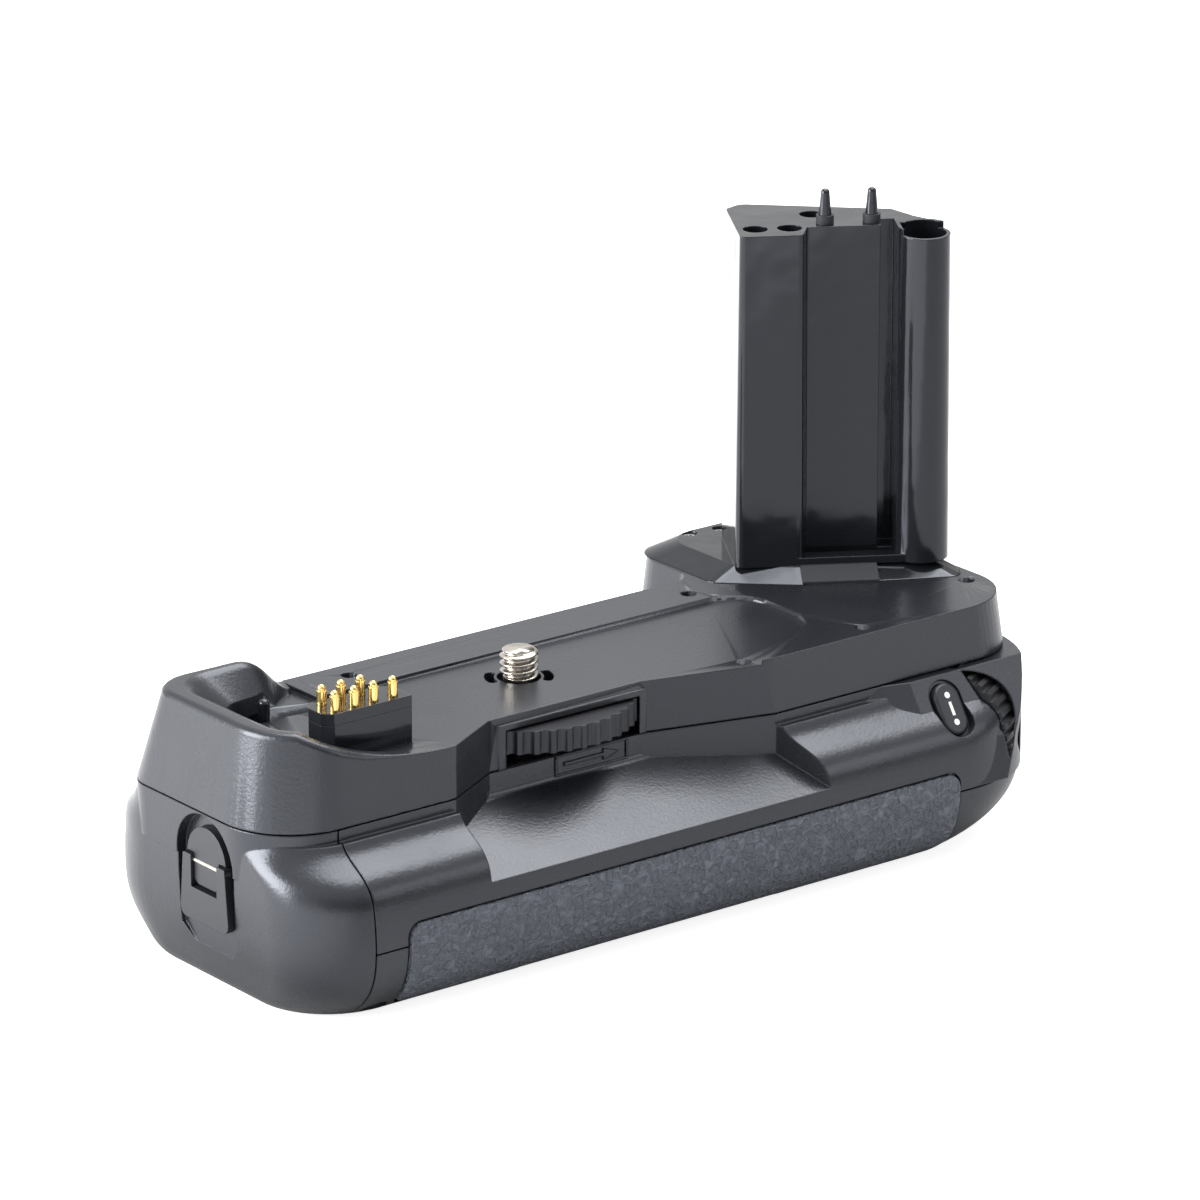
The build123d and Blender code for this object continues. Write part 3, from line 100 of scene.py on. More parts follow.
# %% Camera
camera_place = Vector((-648.41, -857.44, 379.09)) * mm
camera_heading = Vector((0.58021, 0.74800, -0.32227))
lens_mm, sensor_mm, nearest = 210, 36, 0.05
camera = put_in_scene("camera", bpy.data.cameras.new("camera"))
camera.data.lens, camera.data.sensor_width, camera.data.clip_start = lens_mm, sensor_mm, nearest
camera.location = camera_place
camera.rotation_euler = camera_heading.to_track_quat("-Z", "Y").to_euler()
bpy.context.scene.camera = camera
bpy.context.scene.view_settings.view_transform = "Standard"
print("camera", round(camera_place.length, 3), "m from the screw")

# %% [markdown]
# ## Finishes
# Every finish is a Principled shader with a few texture nodes that read Object coordinates, so a
# grain keeps its size in millimetres on every piece. `wire` keeps the node building short: it makes
# a node, sets its values and returns it.

# %% Node helpers
def start_finish(name):
    """A new material with its Principled shader and the object's own coordinates in millimetres."""
    material = bpy.data.materials.new(name)
    material.use_nodes = True
    tree = material.node_tree
    shader = tree.nodes["Principled BSDF"]
    place = wire(tree, "ShaderNodeTexCoord")
    scale = wire(tree, "ShaderNodeVectorMath", operation="SCALE")
    scale.inputs["Scale"].default_value = 1 / mm
    tree.links.new(place.outputs["Object"], scale.inputs[0])
    return material, tree, shader, scale.outputs["Vector"]


def wire(tree, kind, links=(), values=(), **settings):
    """One node: its settings, the values of its sockets and the links that come into it."""
    node = tree.nodes.new(kind)
    for key, value in settings.items():
        setattr(node, key, value)
    for socket, value in values:
        node.inputs[socket].default_value = value
    for socket, source in links:
        tree.links.new(source, node.inputs[socket])
    return node


cool_sheen = (0.86, 0.9, 1.0, 1)


def shade(shader, colour, roughness, metallic=0.0, specular=0.5):
    """The values that are the same all over a finish, set on the shader's own sockets."""
    for socket, value in (("Base Color", (*colour, 1)), ("Roughness", roughness), ("Metallic", metallic),
                          ("Specular IOR Level", specular)):
        shader.inputs[socket].default_value = value
    if not metallic:
        shader.inputs["Specular Tint"].default_value = cool_sheen


def tint(tree, shader, factor, dark, light):
    """Lets a texture move the base colour between two near tones."""
    mix = wire(tree, "ShaderNodeMix", links=[("Factor", factor)], data_type="RGBA")
    mix.inputs[6].default_value = (*dark, 1)
    mix.inputs[7].default_value = (*light, 1)
    tree.links.new(mix.outputs[2], shader.inputs["Base Color"])


def ramp(tree, source, start, end, low, high, **settings):
    """A value mapped from one range to another and held inside it."""
    limits = [("From Min", start), ("From Max", end), ("To Min", low), ("To Max", high)]
    return wire(tree, "ShaderNodeMapRange", links=[("Value", source)], values=limits, **settings).outputs["Result"]


def spread(tree, socket, factor, low, high):
    """Lets a texture move a value, such as roughness, between two limits."""
    tree.links.new(ramp(tree, factor, 0.0, 1.0, low, high), socket)


def relief(tree, shader, height, depth_mm, edge_mm):
    """Bumps the surface by a height texture and softens its sharp edges."""
    edge = wire(tree, "ShaderNodeBevel", values=[("Radius", edge_mm * mm)], samples=6)
    bump = wire(tree, "ShaderNodeBump", links=[("Height", height), ("Normal", edge.outputs["Normal"])],
                values=[("Distance", depth_mm * mm), ("Strength", 1.0)])
    tree.links.new(bump.outputs["Normal"], shader.inputs["Normal"])


print("helpers ready")

# %% [markdown]
# ### Satin moulded plastic
# The casing is black plastic from a mould with a spark-eroded skin: low pebbles well under a
# millimetre across that turn a reflection into a soft grey sheen. Two noises, one for the pebbles
# and one for slow changes in gloss from handling, do what a photograph of the skin would do.

# %% Satin plastic
def moulded_plastic(name, colour, roughness, pebble_mm, depth_mm, edge_mm=0.35, specular=0.5):
    material, tree, shader, place = start_finish(name)
    shade(shader, colour, roughness, specular=specular)
    pebbles = wire(tree, "ShaderNodeTexNoise", links=[("Vector", place)],
                   values=[("Scale", 1 / pebble_mm), ("Detail", 2.0), ("Roughness", 0.55)])
    wear = wire(tree, "ShaderNodeTexNoise", links=[("Vector", place)],
                values=[("Scale", 0.07), ("Detail", 3.0)])
    spread(tree, shader.inputs["Roughness"], wear.outputs["Fac"], roughness - 0.05, roughness + 0.07)
    tint(tree, shader, wear.outputs["Fac"], [c * 0.85 for c in colour], [c * 1.2 for c in colour])
    relief(tree, shader, pebbles.outputs["Fac"], depth_mm, edge_mm)
    return material


finishes = {
    "shell": moulded_plastic("satin_shell", (0.013, 0.014, 0.017), 0.27, 0.55, 0.035, edge_mm=0.35, specular=0.6),
    "controls": moulded_plastic("satin_controls", (0.016, 0.016, 0.018), 0.38, 0.5, 0.012, edge_mm=0.2),
    "dark_matte": moulded_plastic("matt_trim", (0.018, 0.018, 0.019), 0.62, 0.5, 0.02, edge_mm=0.15),
}
print("satin finishes:", sorted(finishes))

# %% [markdown]
# ### Polished black
# The post and the contact block come from a polished mould. The skin is smooth, but it isn't a
# perfect mirror: the wall shrinks a little as it cools, so highlights bend. A wide, very shallow
# noise bends them, and a fine stretched one adds the hairlines of use.

# %% Polished black
def polished_plastic(name, colour, roughness):
    material, tree, shader, place = start_finish(name)
    shade(shader, colour, roughness, specular=0.5)
    sink = wire(tree, "ShaderNodeTexNoise", links=[("Vector", place)], values=[("Scale", 0.16), ("Detail", 1.0)])
    squeeze = wire(tree, "ShaderNodeMapping", links=[("Vector", place)], values=[("Scale", (6.0, 6.0, 0.35))])
    hairlines = wire(tree, "ShaderNodeTexNoise", links=[("Vector", squeeze.outputs["Vector"])],
                     values=[("Scale", 1.0), ("Detail", 3.0)])
    spread(tree, shader.inputs["Roughness"], hairlines.outputs["Fac"], roughness * 0.6, roughness * 1.5)
    relief(tree, shader, sink.outputs["Fac"], 0.12, 0.25)
    return material


finishes["gloss_black"] = polished_plastic("polished_black", (0.009, 0.010, 0.012), 0.11)

# %% [markdown]
# ### Grained rubber
# The grip pads are soft rubber with a leather-like skin: fine ridges about a millimetre and a half
# apart that wander and join into cells. The distance to a Voronoi cell's edge gives such a network,
# and a noise pushes its coordinates about first, so that no ridge runs straight.

# %% Grained rubber
def grained_rubber(name, colour, ridge_mm, depth_mm):
    material, tree, shader, place = start_finish(name)
    shade(shader, colour, 0.5, specular=0.5)
    push = wire(tree, "ShaderNodeTexNoise", links=[("Vector", place)],
                values=[("Scale", 0.5 / ridge_mm), ("Detail", 1.0)])
    bent = wire(tree, "ShaderNodeVectorMath", links=[(0, push.outputs["Color"]), (2, place)],
                values=[(1, (ridge_mm,) * 3)], operation="MULTIPLY_ADD")
    cells = wire(tree, "ShaderNodeTexVoronoi", links=[("Vector", bent.outputs["Vector"])],
                 values=[("Scale", 1 / ridge_mm)], feature="DISTANCE_TO_EDGE")
    height = ramp(tree, cells.outputs["Distance"], 0.0, 0.22, 1.0, 0.0)
    tint(tree, shader, height, [c * 0.85 for c in colour], [c * 1.3 for c in colour])
    spread(tree, shader.inputs["Roughness"], height, 0.62, 0.40)
    relief(tree, shader, height, depth_mm, 0.3)
    return material


finishes["grip_rubber"] = grained_rubber("grained_rubber", (0.098, 0.107, 0.128), 1.5, 0.45)

# %% [markdown]
# ### Metals
# The tripod screw is nickel plated, the contact pins are gold plated and the inner plates are
# plain steel. Each is fully metallic, and a noise in the roughness keeps it from looking like chrome.

# %% Metals
def plated_metal(name, colour, roughness, streak_mm, depth_mm=0.004):
    material, tree, shader, place = start_finish(name)
    shade(shader, colour, roughness, metallic=1.0)
    streaks = wire(tree, "ShaderNodeTexNoise", links=[("Vector", place)],
                   values=[("Scale", 1 / streak_mm), ("Detail", 3.0)])
    spread(tree, shader.inputs["Roughness"], streaks.outputs["Fac"], roughness * 0.7, roughness * 1.4)
    tint(tree, shader, streaks.outputs["Fac"], [c * 0.86 for c in colour], colour)
    relief(tree, shader, streaks.outputs["Fac"], depth_mm, 0.08)
    return material


finishes["bright_metal"] = plated_metal("nickel_plate", (0.60, 0.56, 0.50), 0.26, 2.5, depth_mm=0.001)
finishes["gold"] = plated_metal("gold_plate", (0.95, 0.68, 0.24), 0.20, 0.5)
finishes["steel"] = plated_metal("plain_steel", (0.52, 0.52, 0.54), 0.35, 0.8)
print("metal finishes:", ["bright_metal", "gold", "steel"])

# %% [markdown]
# ### Inner pieces
# Nobody sees the board and the cells until the drawer is pulled out, but they get a finish of
# their own too: laminate with copper tracks under green varnish, and a plain printed wrap.

# %% Board and cells
def varnished_board(name):
    material, tree, shader, place = start_finish(name)
    shade(shader, (0.02, 0.12, 0.05), 0.3)
    tracks = wire(tree, "ShaderNodeTexBrick", links=[("Vector", place)],
                  values=[("Scale", 0.5), ("Color1", (0.02, 0.14, 0.055, 1)), ("Color2", (0.02, 0.11, 0.045, 1)),
                          ("Mortar", (0.05, 0.2, 0.07, 1)), ("Mortar Size", 0.03)])
    tree.links.new(tracks.outputs["Color"], shader.inputs["Base Color"])
    relief(tree, shader, tracks.outputs["Fac"], 0.03, 0.1)
    return material


def cell_wrap(name):
    material, tree, shader, place = start_finish(name)
    shade(shader, (0.42, 0.44, 0.47), 0.32)
    film = wire(tree, "ShaderNodeTexNoise", links=[("Vector", place)], values=[("Scale", 0.4), ("Detail", 2.0)])
    tint(tree, shader, film.outputs["Fac"], (0.36, 0.38, 0.41), (0.47, 0.49, 0.52))
    relief(tree, shader, film.outputs["Fac"], 0.05, 0.3)
    return material


finishes["board"] = varnished_board("varnished_board")
finishes["cell_wrap"] = cell_wrap("cell_wrap")
finishes["chips"] = finishes["dark_matte"]
print("finishes:", len(finishes))

# %% [markdown]
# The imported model's record names a finish for every solid, so one loop dresses them all. The few
# pieces that are made anew further down get theirs when they are built.

# %% Give every solid its finish
for subpart in frame["record"]["subparts"]:
    piece = nodes[subpart["node"]]
    piece.data.materials.clear()
    piece.data.materials.append(finishes[subpart["material_slot"]])

# %% [markdown]
# ## The bowl at the left end of the cover
# The camera's base drops into the cover's left end, so a wall stands round it: full height at the
# left, falling to the tray's floor along the rear and in one quick curve at the front. The wall is
# a band of sections, one for each direction seen from the bowl's middle: up the outside, over a
# rounded rim and down the leaning inner side. A rounded outline gives the rim's inner edge and
# another the wall's foot, and a ray from the middle finds where a section meets each of them.

# %% Outlines seen from the bowl's middle
def rounded_outline(corners, steps=10):
    """Points of a closed outline in mm whose corners, given as x, y and radius, are arcs."""
    points = []
    for i, (x, y, radius) in enumerate(corners):
        here = Vector((x, y))
        before = (Vector(corners[i - 1][:2]) - here).normalized()
        after = (Vector(corners[(i + 1) % len(corners)][:2]) - here).normalized()
        half = before.angle(after) / 2
        start, end = here + before * radius / tan(half), here + after * radius / tan(half)
        middle = here + (before + after).normalized() * radius / sin(half)
        spokes = [(start - middle).lerp(end - middle, step / steps) for step in range(steps + 1)]
        points += [middle + spoke.normalized() * radius for spoke in spokes] if radius else [here]
    return points


def reach_of(outline, centre, heading):
    """How far a ray from the centre goes before it leaves the outline, in mm."""
    reaches = []
    for a, b in zip(outline, outline[1:] + outline[:1]):
        side, start = b - a, a - centre
        across = heading.x * side.y - heading.y * side.x
        if abs(across) > 1e-9:
            far = (start.x * side.y - start.y * side.x) / across
            share = (start.x * heading.y - start.y * heading.x) / across
            if far > 0 and -1e-6 <= share <= 1 + 1e-6:
                reaches.append(far)
    return max(reaches, default=0)


def arc_through(a, b, c, steps=16):
    """Points of the circle's arc from a to c through b, in mm."""
    a, b, c = Vector(a), Vector(b), Vector(c)
    chord, rise = (c - a) / 2, (b - (a + c) / 2)
    radius = (chord.length_squared + rise.length_squared) / (2 * rise.length)
    middle = b - rise.normalized() * radius
    spokes = [(a - middle).lerp(c - middle, i / steps) for i in range(steps + 1)]
    return [middle + spoke.normalized() * radius for spoke in spokes]


bowl_centre = Vector((-40.0, -1.0))
rim_top, rim_end, ledge = 7.0, -10, 0.8
rim_left, rim_rear, rim_front = -57.3, -17.8, 16.2
inner_top = rounded_outline([(rim_left, rim_rear, 9), (rim_end, rim_rear, 0), (rim_end, rim_front, 0),
                             (rim_left, rim_front, 7)])
floor_left, floor_rear, floor_front = -49.0, -15.8, 14.3
inner_floor = rounded_outline([(floor_left, floor_rear, 8), (rim_end, floor_rear, 0), (rim_end, floor_front, 0),
                               (-32, floor_front, 6), (floor_left, 8.2, 6)])
pocket_left, pocket_middle, pocket_right = -55, -43, -31.5
pocket_plan = (arc_through((pocket_left, 12.2), (pocket_middle, 7.2), (pocket_right, 12.2))
               + arc_through((pocket_right, 13.2), (pocket_middle, 13.9), (pocket_left, 13.2)))
print("bowl outlines:", len(inner_top), "and", len(inner_floor), "points")

# %% [markdown]
# Cutting and adding shapes needs closed meshes. These helpers make one from faces, from an outline
# or from a CAD node, and join two by a boolean. `ring_faces` joins rows of points into quads.

# %% Mesh helpers
def piece_from(name, shape):
    """An object made from a bmesh, which it frees."""
    mesh = bpy.data.meshes.new(name)
    shape.to_mesh(mesh)
    shape.free()
    return put_in_scene(name, mesh)


def closed_mesh(name, vertices, faces):
    """A closed mesh object whose faces all look outwards."""
    mesh = bpy.data.meshes.new(name)
    mesh.from_pydata(vertices, [], faces)
    shape = bmesh.new()
    shape.from_mesh(mesh)
    bpy.data.meshes.remove(mesh)
    bmesh.ops.recalc_face_normals(shape, faces=shape.faces)
    return piece_from(name, shape)


def prism_faces(count):
    """The faces of a prism whose lower outline comes first and whose upper outline follows."""
    sides = [(i, (i + 1) % count, count + (i + 1) % count, count + i) for i in range(count)]
    return [tuple(range(count))[::-1], tuple(range(count, 2 * count))] + sides


def ring_faces(rows, around):
    """Quads between rows of points, each row closed on itself."""
    return [(r * around + i, r * around + (i + 1) % around, (r + 1) * around + (i + 1) % around, (r + 1) * around + i)
            for r in range(rows - 1) for i in range(around)]


def prism(name, outline, low, high):
    """A closed prism over an outline, between two heights, all in mm."""
    vertices = [(x * mm, y * mm, z * mm) for z in (low, high) for x, y in outline]
    return closed_mesh(name, vertices, prism_faces(len(outline)))


def merged(node, reach):
    """A bmesh of a CAD node whose corners are merged, so that each solid is one closed surface."""
    shape = bmesh.new()
    shape.from_mesh(nodes[node].data)
    bmesh.ops.remove_doubles(shape, verts=shape.verts, dist=reach)
    return shape


def join_shapes(target, tool, operation):
    """Cuts or adds a mesh object and takes the tool away."""
    modifier = target.modifiers.new("join", "BOOLEAN")
    modifier.object, modifier.operation, modifier.solver = tool, operation, "EXACT"
    bake(target)
    bpy.data.objects.remove(tool)


def dress(piece, finish, body, *replaced, sharp=24):
    """Smooths a finished shape up to an angle, gives it its finish and lets it stand for CAD nodes."""
    piece.data.polygons.foreach_set("use_smooth", [True] * len(piece.data.polygons))
    piece.data.set_sharp_from_angle(angle=radians(sharp))
    flat = piece.modifiers.new("large faces lead", "WEIGHTED_NORMAL")
    flat.keep_sharp, flat.weight, flat.mode = True, 100, "FACE_AREA"
    bake(piece)
    piece.data.materials.clear()
    piece.data.materials.append(finishes[finish])
    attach(piece, body)
    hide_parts(*replaced)


print("mesh helpers ready")

# %% [markdown]
# The rear rim falls along a power curve from the left corner, the front rim along an S curve. The
# outside follows the cover's own drafted wall, found by two rays at two heights, so that the band
# joins the cover without a step. Where the pocket's far side meets the leaning inner wall, the
# section drops upright from a lip instead of running on to the floor.

# %% Sections of the bowl's wall
rear_end, rear_run, rear_power = -27.0, 30.0, 2.15
front_start, front_run, front_power = -45.5, 12.5, 1.5
ray_heights, ray_start = (-0.4, -8.0), 60
thinnest, rim_round, round_share = 0.02, 1.3, 0.45
foot_share, lip_round, pocket_share = 0.12, 0.15, 0.4


def smooth_step(share):
    share = min(1, max(0, share))
    return share * share * (3 - 2 * share)


def rim_height(x, y):
    """The rim's height over the tray in mm, at a place on its outside."""
    if y < bowl_centre.y:
        return rim_top * min(1, max(0, (rear_end - x) / rear_run)) ** rear_power
    return rim_top - (rim_top - ledge) * smooth_step(max(0, (x - front_start) / front_run) ** front_power)


def outer_wall(tree, heading):
    """The cover's outer wall along a heading: its reach at the tray and how much it leans in per mm."""
    reaches = []
    for z in ray_heights:
        start = (bowl_centre + heading * ray_start).to_3d() + Vector((0, 0, z))
        place = tree.ray_cast(start * mm, -heading.to_3d())[0]
        reaches.append((place.xy / mm - bowl_centre).length)
    lean = (reaches[1] - reaches[0]) / (ray_heights[0] - ray_heights[1])
    return reaches[0] + lean * ray_heights[0], lean


def wall_section(outer, lean, heading, foot=-0.6, low=-8.79, skin=1.0):
    """One section of the wall: reach from the bowl's middle and height, in mm, from outside to inside.

    It goes down to foot under the tray, and on the outside down to low with a skin's thickness."""
    top, floor_edge = reach_of(inner_top, bowl_centre, heading), reach_of(inner_floor, bowl_centre, heading)
    place = bowl_centre + heading * outer
    height = max(thinnest, rim_height(place.x, place.y))
    floor_edge = top + (floor_edge - top) * height / rim_top
    outside = outer - lean * height
    curl = min(rim_round, height * round_share, max(0.05, (outside - top) * round_share))
    slope = Vector((top - floor_edge, height)).normalized()
    inner = Vector((top, height)) - slope * curl * 0.8
    section = [(outer - lean * low - skin, low), (outer - lean * low, low)]
    section += [(outside - curl + curl * cos(pi * i / 16), height - curl + curl * sin(pi * i / 16)) for i in range(9)]
    section += [(top + curl * 0.7, height), (top + curl * 0.3, height - curl * 0.06), tuple(inner)]
    pocket = min(reach_of(pocket_plan, bowl_centre, heading), floor_edge + pocket_share * (top - floor_edge))
    if pocket > floor_edge + 0.2:
        lip = height * (pocket - floor_edge) / (top - floor_edge)
        section += [(pocket + lip_round, lip), (pocket, lip - lip_round), (pocket - 0.05, foot)]
    else:
        section += [(floor_edge + slope.x * foot_share * height, slope.y * foot_share * height + 0.01),
                    (floor_edge - 0.25, 0.01), (floor_edge - 0.4, foot)]
    return section + [(outer - skin, foot)]


def skin_section(outer, lean, low=-10.0, high=9.0, depth=0.25, out=4.0):
    """One section of the cutter that takes the old outer skin away, so that no two skins coincide."""
    return [(outer - lean * low - depth, low), (outer - lean * low + out, low),
            (outer - lean * high + out, high), (outer - lean * high - depth, high)]


def band_mesh(name, sections):
    """A closed mesh over a row of closed sections."""
    around, rows = len(sections[0]), len(sections)
    ends = [tuple(range(around)), tuple(range((rows - 1) * around, rows * around))]
    points = [tuple(point) for section in sections for point in section]
    return closed_mesh(name, points, ring_faces(rows, around) + ends)


print("bowl sections ready")

# %% [markdown]
# The headings turn from the rear, past the left end, to the front, a degree and a half at a time.
# Each gives one section of the wall, and one of a cutter that takes off the old outer skin.

# %% The band, heading by heading
source = nodes["top_cover"].data
cover_tree = BVHTree.FromPolygons([v.co for v in source.vertices], [tuple(p.vertices) for p in source.polygons])
band_steps = 150
(rear_x, rear_y), (front_x, front_y) = (12.0, -19.0), (6.8, 20.0)
first, last = atan2(rear_y, rear_x), atan2(front_y, front_x) - 2 * pi
band, skin = [], []
for step in range(band_steps + 1):
    angle = first + (last - first) * step / band_steps
    heading = Vector((cos(angle), sin(angle)))
    outer, lean = outer_wall(cover_tree, heading)
    for row, section in ((band, wall_section(outer, lean, heading)), (skin, skin_section(outer, lean))):
        row.append([((bowl_centre + heading * reach).to_3d() + Vector((0, 0, z))) * mm for reach, z in section])
print("bowl band:", len(band), "sections of", len(band[0]), "points")

# %% [markdown]
# On a copy of the cover, the outer skin is cut back, the old rim is cut off at the tray's floor and
# at the ledge, and a crescent pocket is sunk into the floor. Then the band takes the rim's place.

# %% Build the cover
clear, hair = 1, 0.004
left_out, side_out, tray_edge = -70, 26, 10.35
plan = [(left_out, -side_out), (-28, -side_out), (-28, tray_edge), (-33.2, tray_edge), (-33.2, side_out),
        (left_out, side_out)]
end_plan = [(-33.5, tray_edge), (-27.9, tray_edge), (-27.9, side_out), (-33.5, side_out)]
cover = piece_from("top_cover_dressed", merged("top_cover", 2e-6))
join_shapes(cover, band_mesh("old_skin", skin), "DIFFERENCE")
join_shapes(cover, prism("old_rim", plan, hair, rim_top + clear), "DIFFERENCE")
join_shapes(cover, prism("old_rim_end", end_plan, ledge + hair, rim_top + clear), "DIFFERENCE")
join_shapes(cover, prism("pocket", pocket_plan, -3.0, clear), "DIFFERENCE")
join_shapes(cover, band_mesh("bowl_wall", band), "UNION")
dress(cover, "shell", "grip_body", "top_cover")
print("cover:", len(cover.data.polygons), "faces")

# %% [markdown]
# ## The tripod screw's thread
# A camera's tripod thread has twenty turns to the inch and flanks at sixty degrees. The solid is a
# plain cylinder over the crests. A helix is a height that depends on the angle and on how far up
# the screw a point lies, so a grid of rings with that height makes the whole thread in one loop.

# %% Threaded screw
def add_mesh(name, vertices, faces, finish, body, smooth=True):
    """A mesh object at the origin, finished and riding on a body."""
    mesh = bpy.data.meshes.new(name)
    mesh.from_pydata(vertices, [], faces)
    mesh.validate()
    mesh.polygons.foreach_set("use_smooth", [smooth] * len(mesh.polygons))
    mesh.materials.append(finish)
    piece = put_in_scene(name, mesh)
    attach(piece, body)
    return piece


def lathe(rings, sides):
    """Vertices and faces of rings round the Z axis, closed at both ends by their centres."""
    vertices = [point for ring in rings for point in ring]
    faces = ring_faces(len(rings), sides)
    for row, flip in ((0, True), (len(rings) - 1, False)):
        centre = len(vertices)
        vertices.append((0, 0, rings[row][0][2]))
        edge = [(row * sides + i, row * sides + (i + 1) % sides, centre) for i in range(sides)]
        faces += [face[::-1] if flip else face for face in edge]
    return vertices, faces


screw_low, screw_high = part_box("tripod_screw")
crest_radius = (screw_high.x - screw_low.x) / 2
pitch = 25.4 * mm / 20
root_radius = crest_radius - 0.6 * pitch
thread_start = 0.3 * mm
crest_chamfer = 0.6 * mm
shank_radius = 2.6 * mm
flank_top, flank_slope = 1.35, 3.6
screw_sides, screw_rows = 96, 84


def thread_radius(angle, height):
    """The thread's radius: flat crests and roots with straight flanks between them."""
    wave = (height / pitch - angle / (2 * pi)) % 1
    flank = min(1, max(0, flank_top - abs(wave - 0.5) * flank_slope))
    radius = root_radius + (crest_radius - root_radius) * flank
    return min(radius, crest_radius - max(0, crest_chamfer - (screw_high.z - height)))


angles = [2 * pi * i / screw_sides for i in range(screw_sides)]
rings = [[(shank_radius * cos(a), shank_radius * sin(a), z) for a in angles] for z in (screw_low.z, thread_start)]
for row in range(screw_rows + 1):
    z = thread_start + (screw_high.z - thread_start) * row / screw_rows
    rings.append([(thread_radius(a, z) * cos(a), thread_radius(a, z) * sin(a), z) for a in angles])
screw = add_mesh("tripod_screw_threaded", *lathe(rings, screw_sides), finishes["bright_metal"], "lock_wheel")
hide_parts("tripod_screw")
print("thread:", round((screw_high.z - thread_start) / pitch, 1), "turns")

# %% [markdown]
# ## Screw heads
# The small screws sit at the bottom of their counterbores. Each has a cross recess, cut by two bars
# at a right angle. There are eleven screws in three nodes, and every node gets one head. Where the
# heads go is read from the solids: each loose solid in a node is a screw, and its box is its place.
# The boxes are sorted, so that every run gives the same screw the same turn.

# %% One screw head with a cross recess
head_height, screw_shank = 1.1 * mm, 0.8 * mm
head_taper, slot_length, slot_width, slot_depth = 0.86, 1.15, 0.26, 1.1


def cross_head(name, radius, height, length, shank):
    """A pan head with a cross recess, on its shank, seated at the origin with its head upwards."""
    top_radius = radius * head_taper
    shape = bmesh.new()
    bmesh.ops.create_cone(shape, cap_ends=True, segments=32, radius1=radius, radius2=top_radius, depth=height)
    bmesh.ops.translate(shape, verts=shape.verts, vec=(0, 0, height / 2))
    head = piece_from(name, shape)
    for turn in (0, pi / 2):
        slot, around_z = bmesh.new(), Matrix.Rotation(turn, 3, "Z")
        bmesh.ops.create_cube(slot, size=1)
        bmesh.ops.scale(slot, verts=slot.verts, vec=(radius * slot_length, radius * slot_width, height * slot_depth))
        bmesh.ops.rotate(slot, verts=slot.verts, cent=(0, 0, 0), matrix=around_z)
        bmesh.ops.translate(slot, verts=slot.verts, vec=(0, 0, height))
        join_shapes(head, piece_from("cutter", slot), "DIFFERENCE")
    post = bmesh.new()
    bmesh.ops.create_cone(post, cap_ends=True, segments=16, radius1=shank, radius2=shank, depth=length)
    bmesh.ops.translate(post, verts=post.verts, vec=(0, 0, -length / 2))
    post.from_mesh(head.data)
    post.to_mesh(head.data)
    post.free()
    return head


def islands(node):
    """The low and high corners of each loose solid of a node, found along its merged edges."""
    shape = merged(node, 1e-6)
    left, found = set(shape.verts), []
    while left:
        queue, group = [left.pop()], []
        while queue:
            vertex = queue.pop()
            group.append(vertex.co.copy())
            for edge in vertex.link_edges:
                other = edge.other_vert(vertex)
                if other in left:
                    left.remove(other)
                    queue.append(other)
        low = Vector([min(p[i] for p in group) for i in range(3)])
        high = Vector([max(p[i] for p in group) for i in range(3)])
        found.append((low, high))
    shape.free()
    return sorted(found, key=lambda box: [round(value, 4) for value in box[0]])


print("cover screws:", len(islands("cover_screws")))

# %% [markdown]
# Geometry Nodes put the head on a point at each place and give it a random turn, as no two screws
# stop alike. The tree ends in Realize Instances, because the export drops instances, and in Set
# Material, and the result is baked into one mesh for each node.

# %% Place the heads with Geometry Nodes
def head_tree(name, head, finish):
    """A tree that puts the head on every point of the input and gives it its finish."""
    tree = bpy.data.node_groups.new(name, "GeometryNodeTree")
    tree.interface.new_socket("Geometry", in_out="INPUT", socket_type="NodeSocketGeometry")
    tree.interface.new_socket("Scale", in_out="INPUT", socket_type="NodeSocketFloat")
    tree.interface.new_socket("Turn seed", in_out="INPUT", socket_type="NodeSocketInt")
    tree.interface.new_socket("Geometry", in_out="OUTPUT", socket_type="NodeSocketGeometry")
    enter, leave = wire(tree, "NodeGroupInput"), wire(tree, "NodeGroupOutput")
    shape = wire(tree, "GeometryNodeObjectInfo")
    shape.inputs["Object"].default_value = head
    turn = wire(tree, "FunctionNodeRandomValue", links=[("Seed", enter.outputs["Turn seed"])],
                data_type="FLOAT_VECTOR")
    turn.inputs["Max"].default_value = (0, 0, pi)
    put = wire(tree, "GeometryNodeInstanceOnPoints",
               links=[("Points", enter.outputs["Geometry"]), ("Instance", shape.outputs["Geometry"]),
                      ("Rotation", turn.outputs["Value"]), ("Scale", enter.outputs["Scale"])])
    real = wire(tree, "GeometryNodeRealizeInstances", links=[("Geometry", put.outputs["Instances"])])
    coat = wire(tree, "GeometryNodeSetMaterial", links=[("Geometry", real.outputs["Geometry"])])
    coat.inputs["Material"].default_value = finish
    tree.links.new(coat.outputs["Geometry"], leave.inputs["Geometry"])
    return tree


